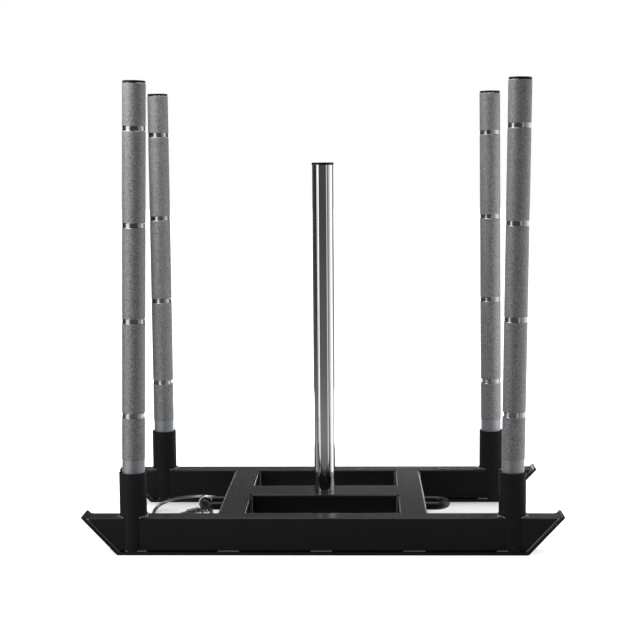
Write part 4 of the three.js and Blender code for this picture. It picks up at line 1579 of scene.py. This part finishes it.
class WeldOperator(bpy.types.Operator):
    """Lays the weld beads of the runners, sockets, deck bars and tow eyes"""

    bl_idname = "push_sled.welds"
    bl_label = "Welds"

    def execute(self, context):
        scene = context.scene
        self.w = scene.push_sled_weld
        finish = finishes(scene)
        groups = {
            "socket_welds": self.socket_beads(scene),
            "sole_stitch_welds": self.sole_beads(scene),
            "sole_end_welds": self.slope_beads(scene),
            "deck_welds": self.deck_beads(scene),
            "tow_eye_welds": self.tow_beads(scene),
        }
        for name, ripples in groups.items():
            piece = smooth(joined(ripples), 60)
            fit_out(piece, name, finish["weld"], "sled_frame")
        flush = joined(self.flush_joints(scene))
        fit_out(flush, "ground_deck_welds", finish["deck"], "sled_frame")
        return {"FINISHED"}

    def bead(self, points, outs):
        """Ripples of the common bead along a line of points."""
        w = self.w
        stations = walk([Vector(p) for p in points], [Vector(o) for o in outs], w.pitch)
        return lay_bead(stations, w.pitch, w.width, w.height)

    def socket_beads(self, scene):
        """Arcs on the runner's top beside each socket, with a fat lump near each of their ends."""
        r = scene.push_sled_runner
        k = scene.push_sled_socket
        top = deck_top(scene)
        radius = k.outer / 2
        reach = math.asin((r.width / 2 - 0.001) / radius)
        steps = 24
        # Where a fat lump sits from the arc's middle, in radians, and its pitch, width and height
        lump_turn = 0.42
        lump_size = (0.0042, 0.0085, 0.0024)
        ripples = []
        for end in (-1, 1):
            for side in (-1, 1):
                centre = Vector((end * k.spacing / 2, side * r.spacing / 2, 0))
                for facing in (0, math.pi):
                    points, outs = [], []
                    for i in range(steps + 1):
                        angle = facing - reach + 2 * reach * i / steps
                        x, y = math.cos(angle), math.sin(angle)
                        ring = radius + 0.0012
                        points.append(centre + Vector((x * ring, y * ring, top + 0.0008)))
                        outs.append(Vector((x, y, 1)))
                    ripples += self.bead(points, outs)
                    for turn in (-lump_turn, lump_turn):
                        out = Vector((math.cos(facing + turn), math.sin(facing + turn), 0))
                        lump = centre + out * (radius + 0.004) + Vector((0, 0, top + 0.0002))
                        face = Vector((0, math.copysign(0.5, out.y), 0.87))
                        station = (lump, Vector((1, 0, 0)), face)
                        ripples += lay_bead([station], *lump_size, lean_back=0)
        return ripples

    def sole_beads(self, scene):
        """Stitches between the runner tube and the ledge of its sole, on both sides."""
        r = scene.push_sled_runner
        half = self.w.stitch / 2
        height = r.sole_thickness + 0.0012
        stitches, spacing = 5, 0.206
        ripples = []
        for side in (-1, 1):
            for face in (-1, 1):
                y = side * r.spacing / 2 + face * r.width / 2
                for i in range(stitches):
                    x = (i - stitches // 2) * spacing
                    points = [(x - half, y, height), (x + half, y, height)]
                    ripples += self.bead(points, [(0, face, 1)] * 2)
        return ripples

    def slope_beads(self, scene):
        """Smooth fillets up both slopes, between the tube's cut ends and the ledge of the sole."""
        r = scene.push_sled_runner
        w = self.w
        slope, mitre = tip_bend(r)
        foot = r.length / 2 - r.tip_run - mitre
        rise = deck_top(scene) - r.corner - r.sole_thickness
        ripples = []
        for end in (-1, 1):
            above = Vector((-end * math.sin(slope), 0, math.cos(slope)))
            up = Vector((end * math.cos(slope), 0, math.sin(slope)))
            for side in (-1, 1):
                for face in (-1, 1):
                    y = side * r.spacing / 2 + face * r.width / 2
                    start = Vector((end * foot, y, r.sole_thickness))
                    out = above + Vector((0, face, 0))
                    points = [start + up * 0.002, start + up * (rise / math.sin(slope))]
                    stations = walk(points, [out, out], w.pitch)
                    ripples += lay_bead(stations, w.pitch * 1.8, w.fillet, w.fillet * 0.55)
        return ripples

    def flush_joints(self, scene):
        """Welds ground level with the deck, over the rounded edges that the bars butt against."""
        r = scene.push_sled_runner
        d = scene.push_sled_deck
        depth = d.corner
        level = deck_top(scene) - 0.00012 - depth / 2
        runner_y = r.spacing / 2 - r.width / 2 + (r.corner - r.gap) / 2
        bar_x = (d.cross_spacing - d.cross_size) / 2 + (d.corner - r.gap) / 2
        boxes = []
        for end in (-1, 1):
            size = (d.cross_size - 2 * d.corner, r.corner + r.gap, depth)
            for side in (-1, 1):
                centre = (end * d.cross_spacing / 2, side * runner_y, level)
                boxes.append(add_box(size, centre))
            size = (d.corner + r.gap, d.centre_width - 2 * d.corner, depth)
            boxes.append(add_box(size, (end * bar_x, 0, level)))
        return [ease_edges(box, 0.0002, 2) for box in boxes]

    def deck_beads(self, scene):
        """Runs down both sides of each deck bar's ends."""
        r = scene.push_sled_runner
        d = scene.push_sled_deck
        top = deck_top(scene)
        ripples = []
        clear = 0.006
        for end in (-1, 1):
            for side in (-1, 1):
                y = side * (r.spacing / 2 - r.width / 2)
                for face in (-1, 1):
                    x = end * d.cross_spacing / 2 + face * d.cross_size / 2
                    points = [(x, y, top - d.cross_size + clear), (x, y, top - clear)]
                    ripples += self.bead(points, [(face, -side, 0)] * 2)
        for end in (-1, 1):
            x = end * (d.cross_spacing - d.cross_size) / 2
            for side in (-1, 1):
                y = side * d.centre_width / 2
                points = [(x, y, top - d.centre_height + clear), (x, y, top - clear)]
                ripples += self.bead(points, [(-end, side, 0)] * 2)
        return ripples

    def tow_beads(self, scene):
        """A ring round each leg of the tow eyes where it meets the cross bar."""
        d = scene.push_sled_deck
        bend = (d.tow_width - d.tow_rod) / 2
        height = tow_height(scene)
        radius = d.tow_rod / 2 + 0.001
        steps = 24
        ring = [(math.cos(a), math.sin(a)) for a in (TAU * i / steps for i in range(steps + 1))]
        ripples = []
        for end in (-1, 1):
            x = end * (tow_face(scene) + 0.001)
            for side in (-1, 1):
                points = [(x, side * bend + radius * y, height + radius * z) for y, z in ring]
                ripples += self.bead(points, [(end, y, z) for y, z in ring])
        return ripples


OPERATORS = (
    StageOperator,
    SlingOperator,
    ShackleOperator,
    SolePlateOperator,
    RunnerTubeOperator,
    SocketOperator,
    DeckOperator,
    TowEyeOperator,
    PostOperator,
    PoleOperator,
    WeldOperator,
)

SETTINGS = (
    ("push_sled_stage", StageSettings),
    ("push_sled_sling", SlingSettings),
    ("push_sled_shackle", ShackleSettings),
    ("push_sled_runner", RunnerSettings),
    ("push_sled_socket", SocketSettings),
    ("push_sled_deck", DeckSettings),
    ("push_sled_post", PostSettings),
    ("push_sled_pole", PoleSettings),
    ("push_sled_weld", WeldSettings),
    ("push_sled_finish", FinishSettings),
)


class PushSledPanel(bpy.types.Panel):
    """Lists the sled's pieces and their settings"""

    bl_idname = "VIEW3D_PT_push_sled"
    bl_label = "Push Sled"
    bl_space_type = "VIEW_3D"
    bl_region_type = "UI"
    bl_category = "Push Sled"

    def draw(self, context):
        layout = self.layout
        for operator in OPERATORS:
            layout.operator(operator.bl_idname)
        for name, settings in SETTINGS:
            box = layout.box()
            group = getattr(context.scene, name)
            for key in settings.__annotations__:
                box.prop(group, key)


def register():
    for name, settings in SETTINGS:
        bpy.utils.register_class(settings)
        setattr(bpy.types.Scene, name, bpy.props.PointerProperty(type=settings))
    for operator in OPERATORS:
        bpy.utils.register_class(operator)
    bpy.utils.register_class(PushSledPanel)


def unregister():
    bpy.utils.unregister_class(PushSledPanel)
    for operator in reversed(OPERATORS):
        bpy.utils.unregister_class(operator)
    for name, settings in reversed(SETTINGS):
        delattr(bpy.types.Scene, name)
        bpy.utils.unregister_class(settings)


def main():
    """Registers the add-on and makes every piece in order."""
    register()
    for operator in OPERATORS:
        group, name = operator.bl_idname.split(".")
        getattr(getattr(bpy.ops, group), name)()


if __name__ == "__main__":
    main()
